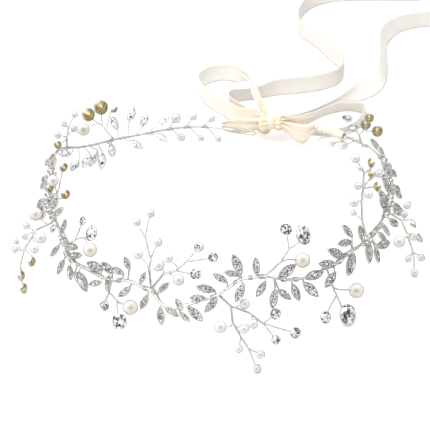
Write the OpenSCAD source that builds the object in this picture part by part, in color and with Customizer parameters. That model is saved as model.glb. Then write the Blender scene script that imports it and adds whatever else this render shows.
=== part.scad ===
// Bridal hair vine: a twisted wire ring dressed with stone-set leaves, pearl and crystal
// sprays, clear beads and marquise stones, tied at the back with a satin ribbon bow.
// Millimetres, +Z up, front towards -Y. The origin is the middle of the ring on the surface
// that the piece lies on.

/* [Ring] */
// Radius of the ring as worn, to the middle of the vine wire
band_r = 92; // [85:1:100]
// Lean of the dressed band in towards the crown, degrees
band_lean = 34; // [28:1:40]
// Height of the ring's middle above the surface
band_h = 23; // [23:1:30]
// How much higher the front sits than the middle
band_tilt = 10; // [8:1:12]

/* [Wire] */
// Thickness of the twisted vine wire
vine_d = 1.6; // [1.4:0.1:1.8]
// Thickness of a twisted spray stem
stem_d = 0.8; // [0.6:0.1:0.9]
// Thickness of the single strand wound round the vine
strand_d = 0.5; // [0.4:0.05:0.6]

/* [Leaves] */
// Thickness of a stone-set leaf
leaf_t = 1.2; // [1:0.1:1.3]
// Width of a leaf as a share of its length
leaf_share = 0.42; // [0.36:0.02:0.46]
// Depth of the tray that holds the leaf's small stones
tray_depth = 0.4; // [0.3:0.1:0.6]
// Width of the leaf's rim round the tray
leaf_rim = 0.5; // [0.4:0.1:0.6]

/* [Stones and beads] */
// Wall of a stone's collar
collar_wall = 0.45; // [0.4:0.05:0.6]
// Clear space round each stone and each bead's wire
fit_gap = 0.12; // [0.1:0.02:0.15]
// Width of a marquise stone's setting
marquise_w = 5; // [4.4:0.2:5.2]

/* [Ribbon] */
// Width of the satin ribbon
ribbon_w = 13; // [11:0.5:14]
// Thickness of the ribbon as a stiffened wall
ribbon_t = 1; // [1:0.1:1.2]

/* [Hidden] */
silver = [0.82, 0.82, 0.84];
gold = [0.80, 0.66, 0.34];
pearl_white = [0.96, 0.94, 0.90];
clear_glass = [0.85, 0.90, 0.94, 0.6];
ivory = [0.95, 0.91, 0.83];

wire_sides = 6;
stem_sides = 5;
coil_gap = 0.25;
coil_r = vine_d / 2 + coil_gap + strand_d / 2;
hub_lift = coil_r + strand_d / 2;
leaf_lift = coil_r + strand_d / 2 + 0.25 + leaf_t / 2;
spine_d = leaf_t;
// A joint ball turned like this has its seam clear of the rods that meet in it
seam_turn = [25, 35, 0];

// Each placed thing is named by where it is on the band: its angle round the ring from the
// front (positive to the wearer's left, +X), its rise up the band's slope, and its lift off it.
function radial(angle) = [sin(angle), -cos(angle), 0];
function tangent(angle) = [cos(angle), sin(angle), 0];
function slope_up(angle) = cos(band_lean) * [0, 0, 1] - sin(band_lean) * radial(angle);
function slope_out(angle) = cos(band_lean) * radial(angle) + sin(band_lean) * [0, 0, 1];
function on_band(place) =
    band_r * radial(place[0])
    + (band_h + band_tilt * cos(place[0])) * [0, 0, 1]
    + place[1] * slope_up(place[0])
    + place[2] * slope_out(place[0]);

function unit(v) = v / norm(v);
function square_to(v, d) = unit(v - (v * d) * d);
function blend(a, b, c, d, t) =
    0.5 * (2 * b + (c - a) * t + (2 * a - 5 * b + 4 * c - d) * t * t
    + (3 * b - a - 3 * c + d) * t * t * t);
function smooth(rows, steps) = concat(
    [for (i = [0 : len(rows) - 2]) for (s = [0 : steps - 1])
        blend(rows[max(i - 1, 0)], rows[i], rows[i + 1], rows[min(i + 2, len(rows) - 1)], s / steps)],
    [rows[len(rows) - 1]]);
function heading(path, i) = unit(path[min(i + 1, len(path) - 1)] - path[max(i - 1, 0)]);
function side_vectors(path) = [
    for (i = 0, s = square_to(any_square(heading(path, 0)), heading(path, 0));
        i < len(path);
        i = i + 1, s = square_to(s, heading(path, min(i, len(path) - 1)))) s];
function any_square(d) = abs(d[2]) < 0.9 ? [0, 0, 1] : [1, 0, 0];

// The vine's run: angle, rise, lift
vine_rows = [
    [-187, 1, -3], [-180, 0.5, -1], [-171, -0.5, 1], [-162, 0, 1], [-150, 0, 1], [-140, -1, 3],
    [-131, -1.5, 5], [-125, -2, 8], [-119, -2.5, 13], [-114, -1.5, 11], [-107, 0.5, 6],
    [-99, 0.5, 1.5], [-90, -0.5, -1.5], [-79, 2, -2.5], [-72, 3.5, -2], [-67, 4.5, -0.5],
    [-62, 3, 0], [-56.5, 2.5, 0], [-54, -1, 0], [-50, -2.5, 0], [-46, -2.5, 0], [-40, -1.5, 0],
    [-35, -3, 0], [-28, 0, 0], [-22, -1.5, 0], [-19, -2, 0], [-16.5, -7, 0], [-12, -8.5, 0],
    [-8.5, -5, 0], [-2, -2, 0], [3, 3, 0], [6, 6, 0], [13.5, 6.5, 0], [19, 3.5, 0],
    [23.5, 2.5, 0], [29, 2, 0], [33, 3.5, 0], [37.5, 3.5, 0], [42, 5.5, 0], [49, 6, 0],
    [53.5, 5, 0], [58, 6.5, -0.5], [66, 5, -3], [75, 3, -4], [84, 2, -3.5], [96, 0, 0],
    [107, -0.5, 4.5], [115, -2, 8.5], [122, -1.5, 10], [129, -3, 10], [136, -3, 10],
    [141, -4, 10.5], [146, -5, 10]];
vine_fine = smooth(vine_rows, 2);
vine_rise_at = [for (p = vine_fine) [p[0], p[1]]];
vine_lift_at = [for (p = vine_fine) [p[0], p[2]]];
function vine_place(angle, off = 0) = [angle, lookup(angle, vine_rise_at), lookup(angle, vine_lift_at) + off];
function vine_point(angle) = on_band(vine_place(angle));

// A round wire along a path of points
module wire(path, d, sides = stem_sides) {
    side = side_vectors(path);
    n = len(path);
    points = [for (i = [0 : n - 1]) for (k = [0 : sides - 1])
        path[i] + d / 2 * (cos(360 * k / sides) * side[i]
        + sin(360 * k / sides) * cross(heading(path, i), side[i]))];
    walls = [for (i = [0 : n - 2]) for (k = [0 : sides - 1])
        let (a = i * sides + k, b = i * sides + (k + 1) % sides) each
            [[a, a + sides, b + sides], [a, b + sides, b]]];
    ends = [[for (k = [0 : sides - 1]) k], [for (k = [0 : sides - 1]) n * sides - 1 - k]];
    polyhedron(points, concat(walls, ends));
}

// A flat strip along rows of [x, y, z, lean x, lean y, lean z]: one edge and the way across
module strip(rows, thick) {
    n = len(rows);
    edge = [for (r = rows) [r[0], r[1], r[2]]];
    span = [for (r = rows) [r[3], r[4], r[5]]];
    points = [for (i = [0 : n - 1])
        let (out = unit(cross(heading(edge, i), span[i])) * thick / 2) each
            [for (corner = [edge[i] - out, edge[i] + out, edge[i] + span[i] + out, edge[i] + span[i] - out])
                [corner[0], corner[1], max(corner[2], 0)]]];
    walls = [for (i = [0 : n - 2]) for (k = [0 : 3])
        let (a = i * 4 + k, b = i * 4 + (k + 1) % 4) each [[a, b + 4, a + 4], [a, b, b + 4]]];
    polyhedron(points, concat(walls, [[3, 2, 1, 0], [n * 4 - 4, n * 4 - 3, n * 4 - 2, n * 4 - 1]]));
}

// The small twist where stems part
module knuckle(point, d = stem_d + 0.3) {
    translate(point) sphere(d = d, $fn = 6);
}

// A few tight turns where strands leave the vine, as one blended lump
module twist(from, to, d) {
    hull() {
        translate(from) sphere(d = d, $fn = 6);
        translate(to) sphere(d = d, $fn = 6);
    }
}

module stand_at(place, turn = 0) {
    translate(on_band(place)) rotate([90 - band_lean, 0, place[0]]) rotate([0, 0, turn]) children();
}

// Turns a shape's X axis along d and its Z axis as near to up as it goes
module lay_along(point, d, up) {
    x = unit(d);
    z = square_to(up, x);
    y = cross(z, x);
    multmatrix([[x[0], y[0], z[0], point[0]], [x[1], y[1], z[1], point[1]], [x[2], y[2], z[2], point[2]]])
        children();
}

// Leaves
module almond(length, width) {
    r = (length * length / 4 + width * width / 4) / width;
    intersection() {
        translate([length / 2, r - width / 2]) circle(r, $fn = 96);
        translate([length / 2, width / 2 - r]) circle(r, $fn = 96);
    }
}

module leaf(length) {
    width = length * leaf_share;
    tray = length - 4.4 * leaf_rim;
    difference() {
        translate([0, 0, -leaf_t / 2]) linear_extrude(leaf_t) almond(length, width);
        translate([(length - tray) / 2, 0, leaf_t / 2 - tray_depth])
            linear_extrude(leaf_t) almond(tray, width - 2 * leaf_rim);
    }
}

module rod(a, b, d) {
    lay_along(a, b - a, any_square(unit(b - a))) rotate([0, 90, 0]) cylinder(h = norm(b - a), d = d, $fn = 24);
}

// Each sprig: a name, then a row per leaf with angle, rise, direction in the band's face, length
// and, where it is rolled on its own length, by how much; then, where there is one, the turn of its joint balls
sprigs = [
    ["leaf_sprig_left_side", [[-112, -2.6, -110, 10, -45], [-109, 1, 80, 9, 50], [-106, 2.4, 70, 10, 50],
        [-103, -1, -110, 9, -50], [-100, -1.4, -115, 10, -50], [-97, 2, 95, 9, 50], [-94, 2, 75, 10, 50],
        [-91, -1, -95, 9, -50], [-88, -2, -65, 10, -50], [-85, 1.6, 80, 9, 50], [-82, -0.8, -115, 10, -45],
        [-77, 4.4, 110, 9, 45], [-72, 5.4, 70, 9, 40]]],
    ["leaf_sprig_left_front", [[-59.5, 5.5, 115, 7], [-57.5, 0, -103, 8], [-54.5, 2.5, 20, 9],
        [-52.5, -4, -85, 8.5], [-51, -0.6, 28, 8.6], [-49.4, -4.6, -46, 8]]],
    ["leaf_sprig_front_1", [[-46.5, -6, -25, 8], [-45, -5, -30, 12], [-36.5, 1, 180, 10.5], [-35.5, -4.5, -150, 7.5],
        [-34, 0, -77, 8], [-32.5, 1, 158, 9], [-29, 2.5, 172, 8], [-27.5, 5, 130, 7.5], [-26, -2, -127, 8.5]]],
    ["leaf_sprig_front_2", [[-23.5, 0, 78, 6.5], [-20.4, -3.5, -105, 8.5], [-17.8, -2.5, 52, 8], [-16.4, -8.2, -75, 9],
        [-15, -8.6, -22, 8]], seam_turn],
    ["leaf_sprig_front_3", [[-11, -9.5, -35, 7], [-10, -9, 125, 7], [-9, -6.5, -38, 10.5], [-3.5, -2.5, 179, 8.5],
        [-1, 1, 168, 10], [-0.5, -2, -133, 9.5]]],
    ["leaf_sprig_front_4", [[2.4, 5, 150, 8.5], [6, 8, 164, 8], [6.5, 8, 110, 11], [7, 4.5, -118, 10],
        [11, 7, 89, 9], [13.5, 4.5, -130, 9]]],
    ["leaf_sprig_front_5", [[16, 0.5, -109, 10], [16.5, 0, -48, 8.5], [17, 4.5, 28, 11.5], [21, 1.5, -78, 9.5],
        [24.5, 1, -57, 11], [25, 2, 4, 11]]],
    ["leaf_sprig_front_6", [[36, 0.5, -151, 10], [37, 3.5, 156, 10.5], [41, 5, 136, 11], [45, 5, -140, 12.5],
        [46, 10.5, 164, 9], [47, 12, 108, 8.5]]],
    ["leaf_sprig_right_front", [[50.5, 6.5, 69, 9], [53.1, 5.5, -128, 11], [55, 1, -112, 8], [55.5, 0.5, -16, 11],
        [61.5, 5, -74, 8], [68, 5, -90, 8]]],
    ["leaf_sprig_right_side", [[76, 1, -60, 10, 40], [79, 3, 90, 9, -45], [82, 4, 70, 10, -40],
        [85.4, 0, -80, 9, 50], [88.6, -1, -95, 9, 50], [91.4, 2, 90, 9, -50], [94, 2, 65, 10, -50],
        [96.6, -1, -90, 9, 50], [99, -1.8, -70, 10, 50], [102, 1.6, 85, 9, -50], [105, 1.6, 110, 10, -50],
        [108, -2, -85, 9, 50], [111, -3.4, -60, 10, 50], [114, 0, 95, 9, -50], [117, 0, 75, 10, -50]]]];

function spine_point(angle) = on_band(vine_place(angle, leaf_lift));

// Leaves that sit close together share one joint on the spine
function spine_joints(rows) = [for (i = [0 : len(rows) - 1])
    if (i == 0 || rows[i][0] - rows[max(i - 1, 0)][0] > 1.3) rows[i][0]];
function joint_before(angle, joints) = max([for (j = joints) if (j <= angle) j]);

module leaf_sprig(rows, turn = [0, 0, 0]) {
    joints = spine_joints(rows);
    spine = [for (angle = concat([rows[0][0] - 0.6], joints, [rows[len(rows) - 1][0] + 0.6])) spine_point(angle)];
    color(silver) union() {
        for (i = [1 : len(spine) - 1])
            rod(spine[i - 1], spine[i], spine_d);
        for (p = spine)
            translate(p) rotate(turn) sphere(d = spine_d + 0.2, $fn = 16);
        for (i = [0 : len(rows) - 1]) {
            r = rows[i];
            place = [r[0], r[1], vine_place(r[0])[2] + leaf_lift + 0.3 * (i % 2)];
            start = on_band(place) + 0.9 * (cos(r[2]) * tangent(r[0]) + sin(r[2]) * slope_up(r[0]));
            rod(spine_point(joint_before(r[0], joints)), start, spine_d - 0.2);
            stand_at(place, r[2]) rotate([len(r) > 4 ? r[4] : 0, 0, 0]) leaf(r[3]);
        }
    }
}

// Sprays. Each one: name, the vine angle that its hub is wound on, then four tables.
// forks: angle, rise, lift, row it grows from (row 0 is the hub)
// pearls, beads and stones: angle, rise, lift, size, fork that it grows from
// and where a stone is turned on its stem: how far its face is tipped down, how far it is swung round
sprays = [
    ["front_left_up", -20.6,
        [[-22.2, 7.5, 0, 0], [-22.3, 12, 0, 1], [-25.4, 20.2, 0, 2], [-17.3, 6.9, 0, 0], [-13.6, 8.9, 0, 4],
            [-10.8, 13.6, 0, 5]],
        [[-27.1, 13.3, 0, 5, 1], [-19.6, 10.2, -0.5, 6, 4], [-16.7, 14.3, 0, 4.7, 5], [-12.7, 4.8, -1.5, 5.6, 4]],
        [[-26.5, 33.4, 0, 4, 3], [-31, 27.6, 0, 4, 3], [-21.2, 20.8, 0, 4, 2]],
        [[-7, 20.8, 0, 5.1, 6], [-2.2, 16.3, 0, 5.1, 6], [-7.4, 8.2, -0.5, 5.6, 5]]],
    ["front_left_low", -34,
        [[-33.6, -8.5, -1, 0], [-30, -11, -0.5, 1]],
        [[-26, -12.4, -2.4, 7.4, 2]],
        [],
        [[-33.2, -15.3, 0, 5.4, 1], [-27.1, -19.8, 1.4, 8, 2]]],
    ["left_inner", -57,
        [[-57, 5, -4, 0], [-56.5, 7, -6, 1], [-62, 5.8, 0.6, 0]],
        [[-52, 3.7, -9.6, 7.4, 2]],
        [],
        [[-58.1, 15.2, -3.9, 5, 1], [-54.3, 11.6, -8.4, 8.4, 2], [-62, 5.2, 6, 4.4, 3]]],
    ["front_low", -0.6,
        [[3.1, -6.2, -0.5, 0], [8, -9.6, 0, 1], [11.6, -15.4, 0, 2], [3.5, -14.1, 0, 1], [5.2, -19.8, 0, 4],
            [6.8, -25.1, 0, 5]],
        [[0.1, -15.8, 0, 6, 4], [6.2, -17, 1, 4.4, 4], [9, -15.2, -1.2, 4.7, 2], [7, -5.6, -1, 5, 1],
            [4.6, -26.2, 0, 3.7, 5]],
        [[9.9, -29.6, 0.8, 4, 6], [8.8, -36.1, -0.9, 4, 6]],
        [[15.3, -11.8, 0, 5.6, 3], [19.8, -22.2, 0, 5.6, 3], [14.4, -23.8, 0, 4.7, 3]]],
    ["front_right_up", 14,
        [[19, 11.5, 0, 0], [23.2, 17, 0, 1]],
        [[27.5, 10.2, -2, 7.5, 1]],
        [],
        [[23.6, 26.2, 0, 6, 2, 0, -35], [29.6, 21.9, 0, 10.2, 2, 0, 30]]],
    ["front_right_low", 35,
        [[35.6, -5, -4, 0], [37, -12, -6, 1]],
        [[44, -14, -4.7, 7.6, 1]],
        [],
        [[32.2, -20.8, -9.4, 6.3, 2], [39.7, -23.7, -9, 10.3, 2]]],
    ["left_outer", -76.7,
        [[-76.5, -1.4, -3.2, 0], [-74.8, -7, 3, 1], [-71.2, -17, 5.6, 2], [-67.6, -24, 6, 3], [-63.6, -27, 6.4, 4]],
        [[-79.4, -2.4, 5.3, 7.3, 1], [-72.5, -8.9, 0, 6, 2], [-70.2, -14.2, 1.6, 5, 2]],
        [[-76.6, -8.6, 7.6, 4, 2], [-73.8, -12.4, 6.8, 3.6, 2], [-72, -20, 9.4, 3.6, 3],
            [-74.2, -17, 9.4, 3.6, 3]],
        [[-67.4, -19.6, 1.6, 5.6, 3, 44, -54], [-66.2, -28, 4, 5.6, 4, 44, -54], [-63, -31.7, 2.8, 5.4, 5, 44, -58]]],
    ["right_outer", 83.6,
        [[83, -1.4, -3, 0], [81.5, -7, 1, 1], [78.4, -13, 1, 2], [74.6, -20, 1, 3]],
        [[75.6, -13.4, -3.4, 6.3, 3]],
        [[85.2, -3.5, 6.5, 4.2, 1], [83.6, -6.2, 3, 4, 2], [76.6, -14.8, 4.4, 4.2, 3], [72.2, -22.2, -1.8, 3.6, 4],
            [73.8, -25.2, 3.6, 4.2, 4], [69.8, -28.8, -0.8, 4.1, 4]],
        [[80.9, -11.2, 5.7, 5.3, 2], [79, -19, 5.2, 5.6, 3]]],
    ["right_inner", 57,
        [[59, 14, -2, 0], [62.5, 22.5, 0, 1], [65, 28, 2.6, 2], [68, 34, 5, 3]],
        [[69.8, 42.8, 4.4, 5, 4], [64.6, 24.2, 4, 4.5, 2], [60.6, 24.2, -2.6, 5, 2]],
        [[67, 38, 5.6, 3, 4], [62.8, 31, 2.4, 4, 3], [58.4, 19.6, -4.2, 3, 1], [70.4, 30.2, 10.8, 4.2, 3]],
        [[67, 33.2, 9.4, 5.2, 3, 44, 55], [71.6, 36.6, 9.4, 5.2, 4, 44, 50], [67.6, 25.2, 8.2, 5.4, 3, 44, 55]]],
    ["left_upper", -85.3,
        [[-87, 5, -3, 0], [-90.6, 13.5, 0, 1]],
        [[-88.6, 13, 4, 6.3, 1]],
        [],
        [[-86.6, 10.4, -5.4, 5.6, 1, 44, -60], [-90, 6.6, 2.4, 4.8, 1, 44, -50], [-93.4, 19.6, 2.4, 5.3, 2, 44, -50]]],
    ["left_corner", -120.7,
        [[-120.8, 4, 14, 0], [-122, 8, 17, 1]],
        [],
        [[-125.4, 14.6, 21, 4, 2], [-121, 10.6, 20.4, 4, 2], [-124.6, 7, 16, 4, 1], [-118.6, 5, 18.6, 4.6, 1]],
        [[-116.6, 2.6, 14.4, 5, 1, 50, -40]]],
    ["back_left", -137.4,
        [[-137.6, 2.6, 3, 0], [-137.4, 1.6, 9, 1], [-137.4, 1.5, 13, 2]],
        [[-132.2, -3.6, 17.2, 7.9, 3]],
        [],
        [[-139, 6.6, 21.8, 9, 3, 54, -20], [-136, -0.6, 23.2, 8.6, 3, 54, -10], [-142.4, 8, 17.4, 5.3, 2]]],
    ["back_right", 124.6,
        [[127.2, 3, 12.4, 0], [127, 3, 16, 1]],
        [[133.6, -6.4, 5.6, 5.3, 0], [138.2, -7.6, 4.6, 4.1, 0]],
        [],
        [[128.6, 1.4, 20.4, 6.6, 2, 54, 45], [122.6, 2.4, 19.6, 6.9, 2, 54, 45], [125.6, 9.4, 22, 5.7, 2, 54, 45],
            [134.4, 5.2, 18, 6.6, 1, -50, 0], [132.6, -0.8, 16.2, 6.4, 1, -50, 0]]]];

function hub_point(hub) = on_band(vine_place(hub, -hub_lift));
function fork_points(hub, forks) = concat([hub_point(hub)], [for (f = forks) on_band(f)]);

// How a stem leaves its fork and runs on to the thing that it carries
function stem_route(from, before, to) =
    let (reach = norm(to - from))
    let (bend = from + 0.3 * reach * unit(unit(from - before) + 1.2 * unit(to - from)))
    [from, bend, to];
function before_fork(points, forks, from) =
    from == 0 ? points[0] - [0, 0, 1] : points[forks[from - 1][3]];
function bead_way(row, points, forks) =
    let (start = points[row[4]])
    let (route = stem_route(start, before_fork(points, forks, row[4]), on_band(row)))
    unit(route[2] - route[1]);

// The strand's turns round the vine, from behind it
function winding(hub, turns) = [for (i = [0 : 7 * turns])
    let (angle = hub - 1.6 + 1.6 * i / (7 * turns))
    let (round = 180 + 360 * i / 7)
    on_band(vine_place(angle)) + coil_r * (cos(round) * slope_out(angle) + sin(round) * slope_up(angle))];

// The way that a stone faces, and its place turned that way
function tipped(row) = len(row) > 5 ? row[5] : 0;
function swung(row) = len(row) > 5 ? row[6] : 0;
function face_way(row) = let (lean = band_lean - tipped(row))
    cos(lean) * radial(row[0] + swung(row)) + sin(lean) * [0, 0, 1];
module stand_facing(row) {
    translate(on_band(row)) rotate([90 - band_lean + tipped(row), 0, row[0] + swung(row)]) children();
}

module collar(size) {
    outer = size / 2;
    inner = outer - collar_wall;
    deep = 0.16 * size;
    rotate_extrude($fn = 48)
        polygon([[inner - deep * 0.7, -deep - 0.15], [outer, -deep * 0.8], [outer, 0.55], [inner, 0.55], [inner, -0.15]]);
}

module cut_stone(outline, height, table = 0.58) {
    n = len(outline);
    mids = [for (k = [0 : n - 1]) (outline[k] + outline[(k + 1) % n]) / 2];
    function ring(corners, share, z) = [for (c = corners) [c[0] * share, c[1] * share, z]];
    points = concat(ring(mids, table, 0.3 * height), ring(outline, 1, 0.08 * height), ring(outline, 1, 0),
        [[0, 0, -0.62 * height]]);
    faces = concat(
        [[for (k = [n - 1 : -1 : 0]) k]],
        [for (k = [0 : n - 1]) let (k1 = (k + 1) % n) each [
            [k, k1, n + k1],
            [k, n + k1, n + (k % n)],
            [n + k, n + k1, 2 * n + k1],
            [n + k, 2 * n + k1, 2 * n + k],
            [2 * n + k, 2 * n + k1, 3 * n]]]);
    polyhedron(points, faces);
}

function round_outline(r, n) = [for (k = [0 : n - 1]) r * [cos(360 * k / n), sin(360 * k / n)]];

module round_stone(size) {
    sides = size < 6.4 ? 8 : 12;
    r = size / 2 - collar_wall - fit_gap;
    cut_stone(round_outline(r, sides), size * 0.62);
}

module spray_stems(spray) {
    forks = spray[2];
    points = fork_points(spray[1], forks);
    color(silver) union() {
        wire(winding(spray[1], 2), strand_d, 4);
        for (p = points)
            knuckle(p);
        for (f = forks)
            wire([points[f[3]], on_band(f)], stem_d);
        for (row = concat(spray[3], spray[4])) {
            way = bead_way(row, points, forks);
            route = stem_route(points[row[4]], before_fork(points, forks, row[4]), on_band(row));
            middle = on_band(row);
            wire(concat([route[0], route[1]], [middle - way * (row[3] / 2 + 0.6), middle + way * (row[3] / 2 + 0.4)]),
                stem_d);
        }
        for (row = spray[5]) {
            middle = on_band(row);
            start = points[row[4]];
            inward = square_to(start - middle, face_way(row));
            wire([start, middle + inward * (row[3] / 2 - 0.25) - face_way(row) * 0.12], stem_d);
            stand_facing(row) collar(row[3]);
        }
    }
}

module drilled_bead(middle, way, size) {
    lay_along(middle, way, any_square(way)) rotate([0, 90, 0]) difference() {
        sphere(d = size, $fn = 48);
        cylinder(h = size + 2, d = stem_d + 3 * fit_gap, center = true, $fn = 24);
    }
}

module spray_pearls(spray) {
    points = fork_points(spray[1], spray[2]);
    color(pearl_white) for (row = spray[3])
        drilled_bead(on_band(row), bead_way(row, points, spray[2]), row[3]);
}

module spray_glass(spray) {
    points = fork_points(spray[1], spray[2]);
    color(clear_glass) {
        for (row = spray[4]) drilled_bead(on_band(row), bead_way(row, points, spray[2]), row[3]);
        for (row = spray[5]) stand_facing(row) round_stone(row[3]);
    }
}

// Marquise stones at the back left. A row each: base angle, rise, lift, then tip angle, rise, lift
marquises = [
    [-122.4, -5.6, 7.4, -119.8, -8.6, 14],
    [-123.6, -5.2, 3, -119.6, -11.8, 0.6],
    [-128, -3.6, 2.4, -123.8, -9.6, -2.4],
    [-131.6, -3.2, 2.4, -127, -10.4, -3.4],
    [-133.4, -5, 0, -130.4, -10, -8],
    [-137.8, -3.4, 2.6, -136.6, -7, -5],
    [-142, 0, 7.6, -142.4, 1.4, 16.6],
    [-144.6, -1.4, -0.6, -148.4, -0.6, -8],
    [-146.6, 2.4, 9, -149.6, 7.4, 16.4],
    [-150.2, 1.4, 4.4, -153.6, 6.2, 10.8],
    [-154.6, 0, -0.6, -159.4, 0.6, -7],
    [-156.6, 2.6, 3, -161.4, 7.2, 7.6]];
// the vine angle that each row's stem grows from
marquise_hubs = [-123.2, -124.8, -127, -129.4, -132.4, -136.2, -141.4, -143.2, -144.8, -148.4, -152, -153.6];

function almond_outline(length, width, n) =
    let (r = (length * length / 4 + width * width / 4) / width)
    let (half = asin(length / 2 / r))
    concat(
        [for (k = [0 : n / 2 - 1]) let (a = -half + 2 * half * k / (n / 2)) [r * sin(a), width / 2 - r + r * cos(a)]],
        [for (k = [0 : n / 2 - 1]) let (a = half - 2 * half * k / (n / 2)) [r * sin(a), r - width / 2 - r * cos(a)]]);
function turned_over(points) = [for (i = [len(points) - 1 : -1 : 0]) points[i]];

module at_marquise(row) {
    base = on_band([row[0], row[1], row[2]]);
    tip = on_band([row[3], row[4], row[5]]);
    lay_along((base + tip) / 2, tip - base, slope_up(row[0])) children();
}
function marquise_length(row) = norm(on_band([row[3], row[4], row[5]]) - on_band([row[0], row[1], row[2]]));

module marquise_settings() {
    color(silver) for (i = [0 : len(marquises) - 1]) {
        row = marquises[i];
        long = marquise_length(row);
        base = on_band([row[0], row[1], row[2]]);
        tip = on_band([row[3], row[4], row[5]]);
        vine = vine_point(marquise_hubs[i]);
        root = vine + hub_lift * square_to(base - vine, tangent(marquise_hubs[i]));
        at_marquise(row) difference() {
            translate([0, 0, -0.6]) linear_extrude(1.2) polygon(almond_outline(long, marquise_w, 12));
            translate([0, 0, -1]) linear_extrude(2)
                polygon(almond_outline(long - 2.6 * collar_wall, marquise_w - 2 * collar_wall, 12));
        }
        wire([root, base + 0.5 * collar_wall * unit(tip - base)], stem_d);
        knuckle(root);
    }
}

module marquise_stones() {
    long_cut = 2.6 * collar_wall + 4 * fit_gap;
    color(clear_glass) for (row = marquises)
        at_marquise(row) cut_stone(
            turned_over(almond_outline(marquise_length(row) - long_cut, marquise_w - 2 * collar_wall - 2 * fit_gap, 12)),
            2.6);
}

// Bead twigs at the back end of the vine. A row each: vine angle it grows from, then the bead's angle, rise, lift and size
twigs = [
    [-160.5, -163.9, 3.6, 5.9, 6.4],
    [-161.5, -165, -3.4, -3.8, 5.2],
    [-167, -170.4, 3, 6, 4.8],
    [-168.5, -172.6, -4, -5.2, 4.2],
    [-173.6, -177, 3.4, 4, 4.6],
    [-175, -179.2, -3.8, -6, 4.2]];

function twig_tip(row) = on_band([row[1], row[2], row[3]]);
function twig_way(row) = unit(twig_tip(row) - vine_point(row[0]));

module vine_wire() {
    path = [for (p = vine_fine) on_band(p)];
    end = path[0];
    eye_middle = on_band([-190.6, 1.5, -3.6]);
    eye = [for (i = [0 : 12]) let (a = 180 + 360 * i / 12)
        eye_middle + 5.2 * cos(a) * unit(eye_middle - end) + 3.4 * sin(a) * slope_up(-190)];
    color(silver) union() {
        wire(path, vine_d, wire_sides);
        wire(eye, vine_d * 0.6);
        for (row = twigs) {
            twist(vine_point(row[0]), vine_point(row[0] - 0.5), vine_d + 0.2);
            wire([vine_point(row[0]), twig_tip(row) + twig_way(row) * (row[4] / 2 + 0.4)], stem_d);
        }
        twist(path[0], path[1], vine_d + 0.2);
        twist(eye[0], eye[0] + [0.3, 0, 0], vine_d + 0.2);
    }
}

module twig_beads() {
    color(clear_glass) for (row = twigs)
        drilled_bead(twig_tip(row), twig_way(row), row[4]);
}

// Ribbon rows: lower edge x, y, z, then the lean x, y of its upper edge, then the share of its width
// that shows where it is gathered. The width sets the upper edge's height.
function ribbon_rows(rows) = [for (r = rows)
    let (width = ribbon_w * (len(r) > 5 ? r[5] : 1))
    [r[0], r[1], r[2], r[3], r[4], sqrt(max(width * width - r[3] * r[3] - r[4] * r[4], 4))]];

left_loop = [
    [25, 94.6, 13, 0, 1, 0.6], [21, 99, 9, 0, 2, 0.86], [12, 109, 3, 0, 3], [1.6, 127, 0, 0, 0],
    [-5, 135, 0, 0, 0], [-10, 143, 0, 0, 0], [-13.5, 153, 0, 0, 0], [-13, 162, 0, 0, 0], [-7, 170, 0, 0, 0],
    [0, 173.6, 0, 0, 0], [6.6, 173.4, 0, 0, 0], [11.4, 169.4, 1.6, 0, 0, 0.94], [14, 162, 6, 1, 0, 0.78],
    [15.6, 154, 11, 2, 0, 0.6], [17.2, 146, 14.6, 3, 0, 0.48], [19, 134, 17, 3, 0, 0.44],
    [22.4, 116, 17, 3, 0, 0.44], [26, 101, 15.6, 2, 0, 0.47], [28, 95, 14, 0, 0, 0.5]];
right_loop = [
    [36, 94, 12, 0, 0, 0.55], [38.6, 100, 7, 0, 1, 0.7], [43, 106, 3, 0, 0, 0.7], [53, 117, 0, 0, -2, 0.6],
    [64, 126, 0, 0, -4, 0.7], [74.5, 131.5, 0, 0, -6.5], [84, 133, 0, -1, -7.5], [91, 129.5, 0, -3, -5],
    [93.5, 122.5, 0, -3, -2], [90, 114.5, 0, -2, -4], [80, 108, 0, 0, -7, 0.9], [64, 103, 0, 0, -7, 0.84],
    [50, 97.6, 5, 0, -3, 0.76], [43, 93, 10.4, 0, 0, 0.6], [39.1, 90.5, 13, 0, 0, 0.54]];
tail_1 = [
    [30.6, 95.4, 9, 0, 0, 0.5], [29.6, 100, 3.6, 0, 0, 0.8], [26, 107, 0, 0, -1], [17, 118, 0, 0, -2],
    [8, 130, 0, -1, -1], [5.6, 138, 0, 0, -2], [9, 144, 0, 0, -3.6], [15, 146.4, 0, 0, -5], [22, 148, 0, 0, -5],
    [30, 151, 0, 0, -3], [37, 153.4, 0, 0, -1], [56, 157, 0, 0, 0], [69, 161.5, 0, 0, 0], [78, 168, 0, 0, 0],
    [82.5, 177, 0, 0, 0], [83, 186, 0, 0, 0], [79, 196, 0, 0, 0], [75, 205, 0, 0, 0], [70, 217, 0, 0, 0],
    [64, 229, 0, 0, 0], [57.5, 239, 0, 0, 0], [56, 249, 0, 0, 0], [57.5, 261, 0, 0, 0], [63, 277, 0, 0, 0],
    [71, 289, 0, 0, 0], [82.5, 297, 0, 0, 0], [95, 300, 0, 0, 0], [122, 301, 0, 0, 0], [150, 301, 0, 0, 0],
    [162, 306, 0, 0, 0]];
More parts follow.
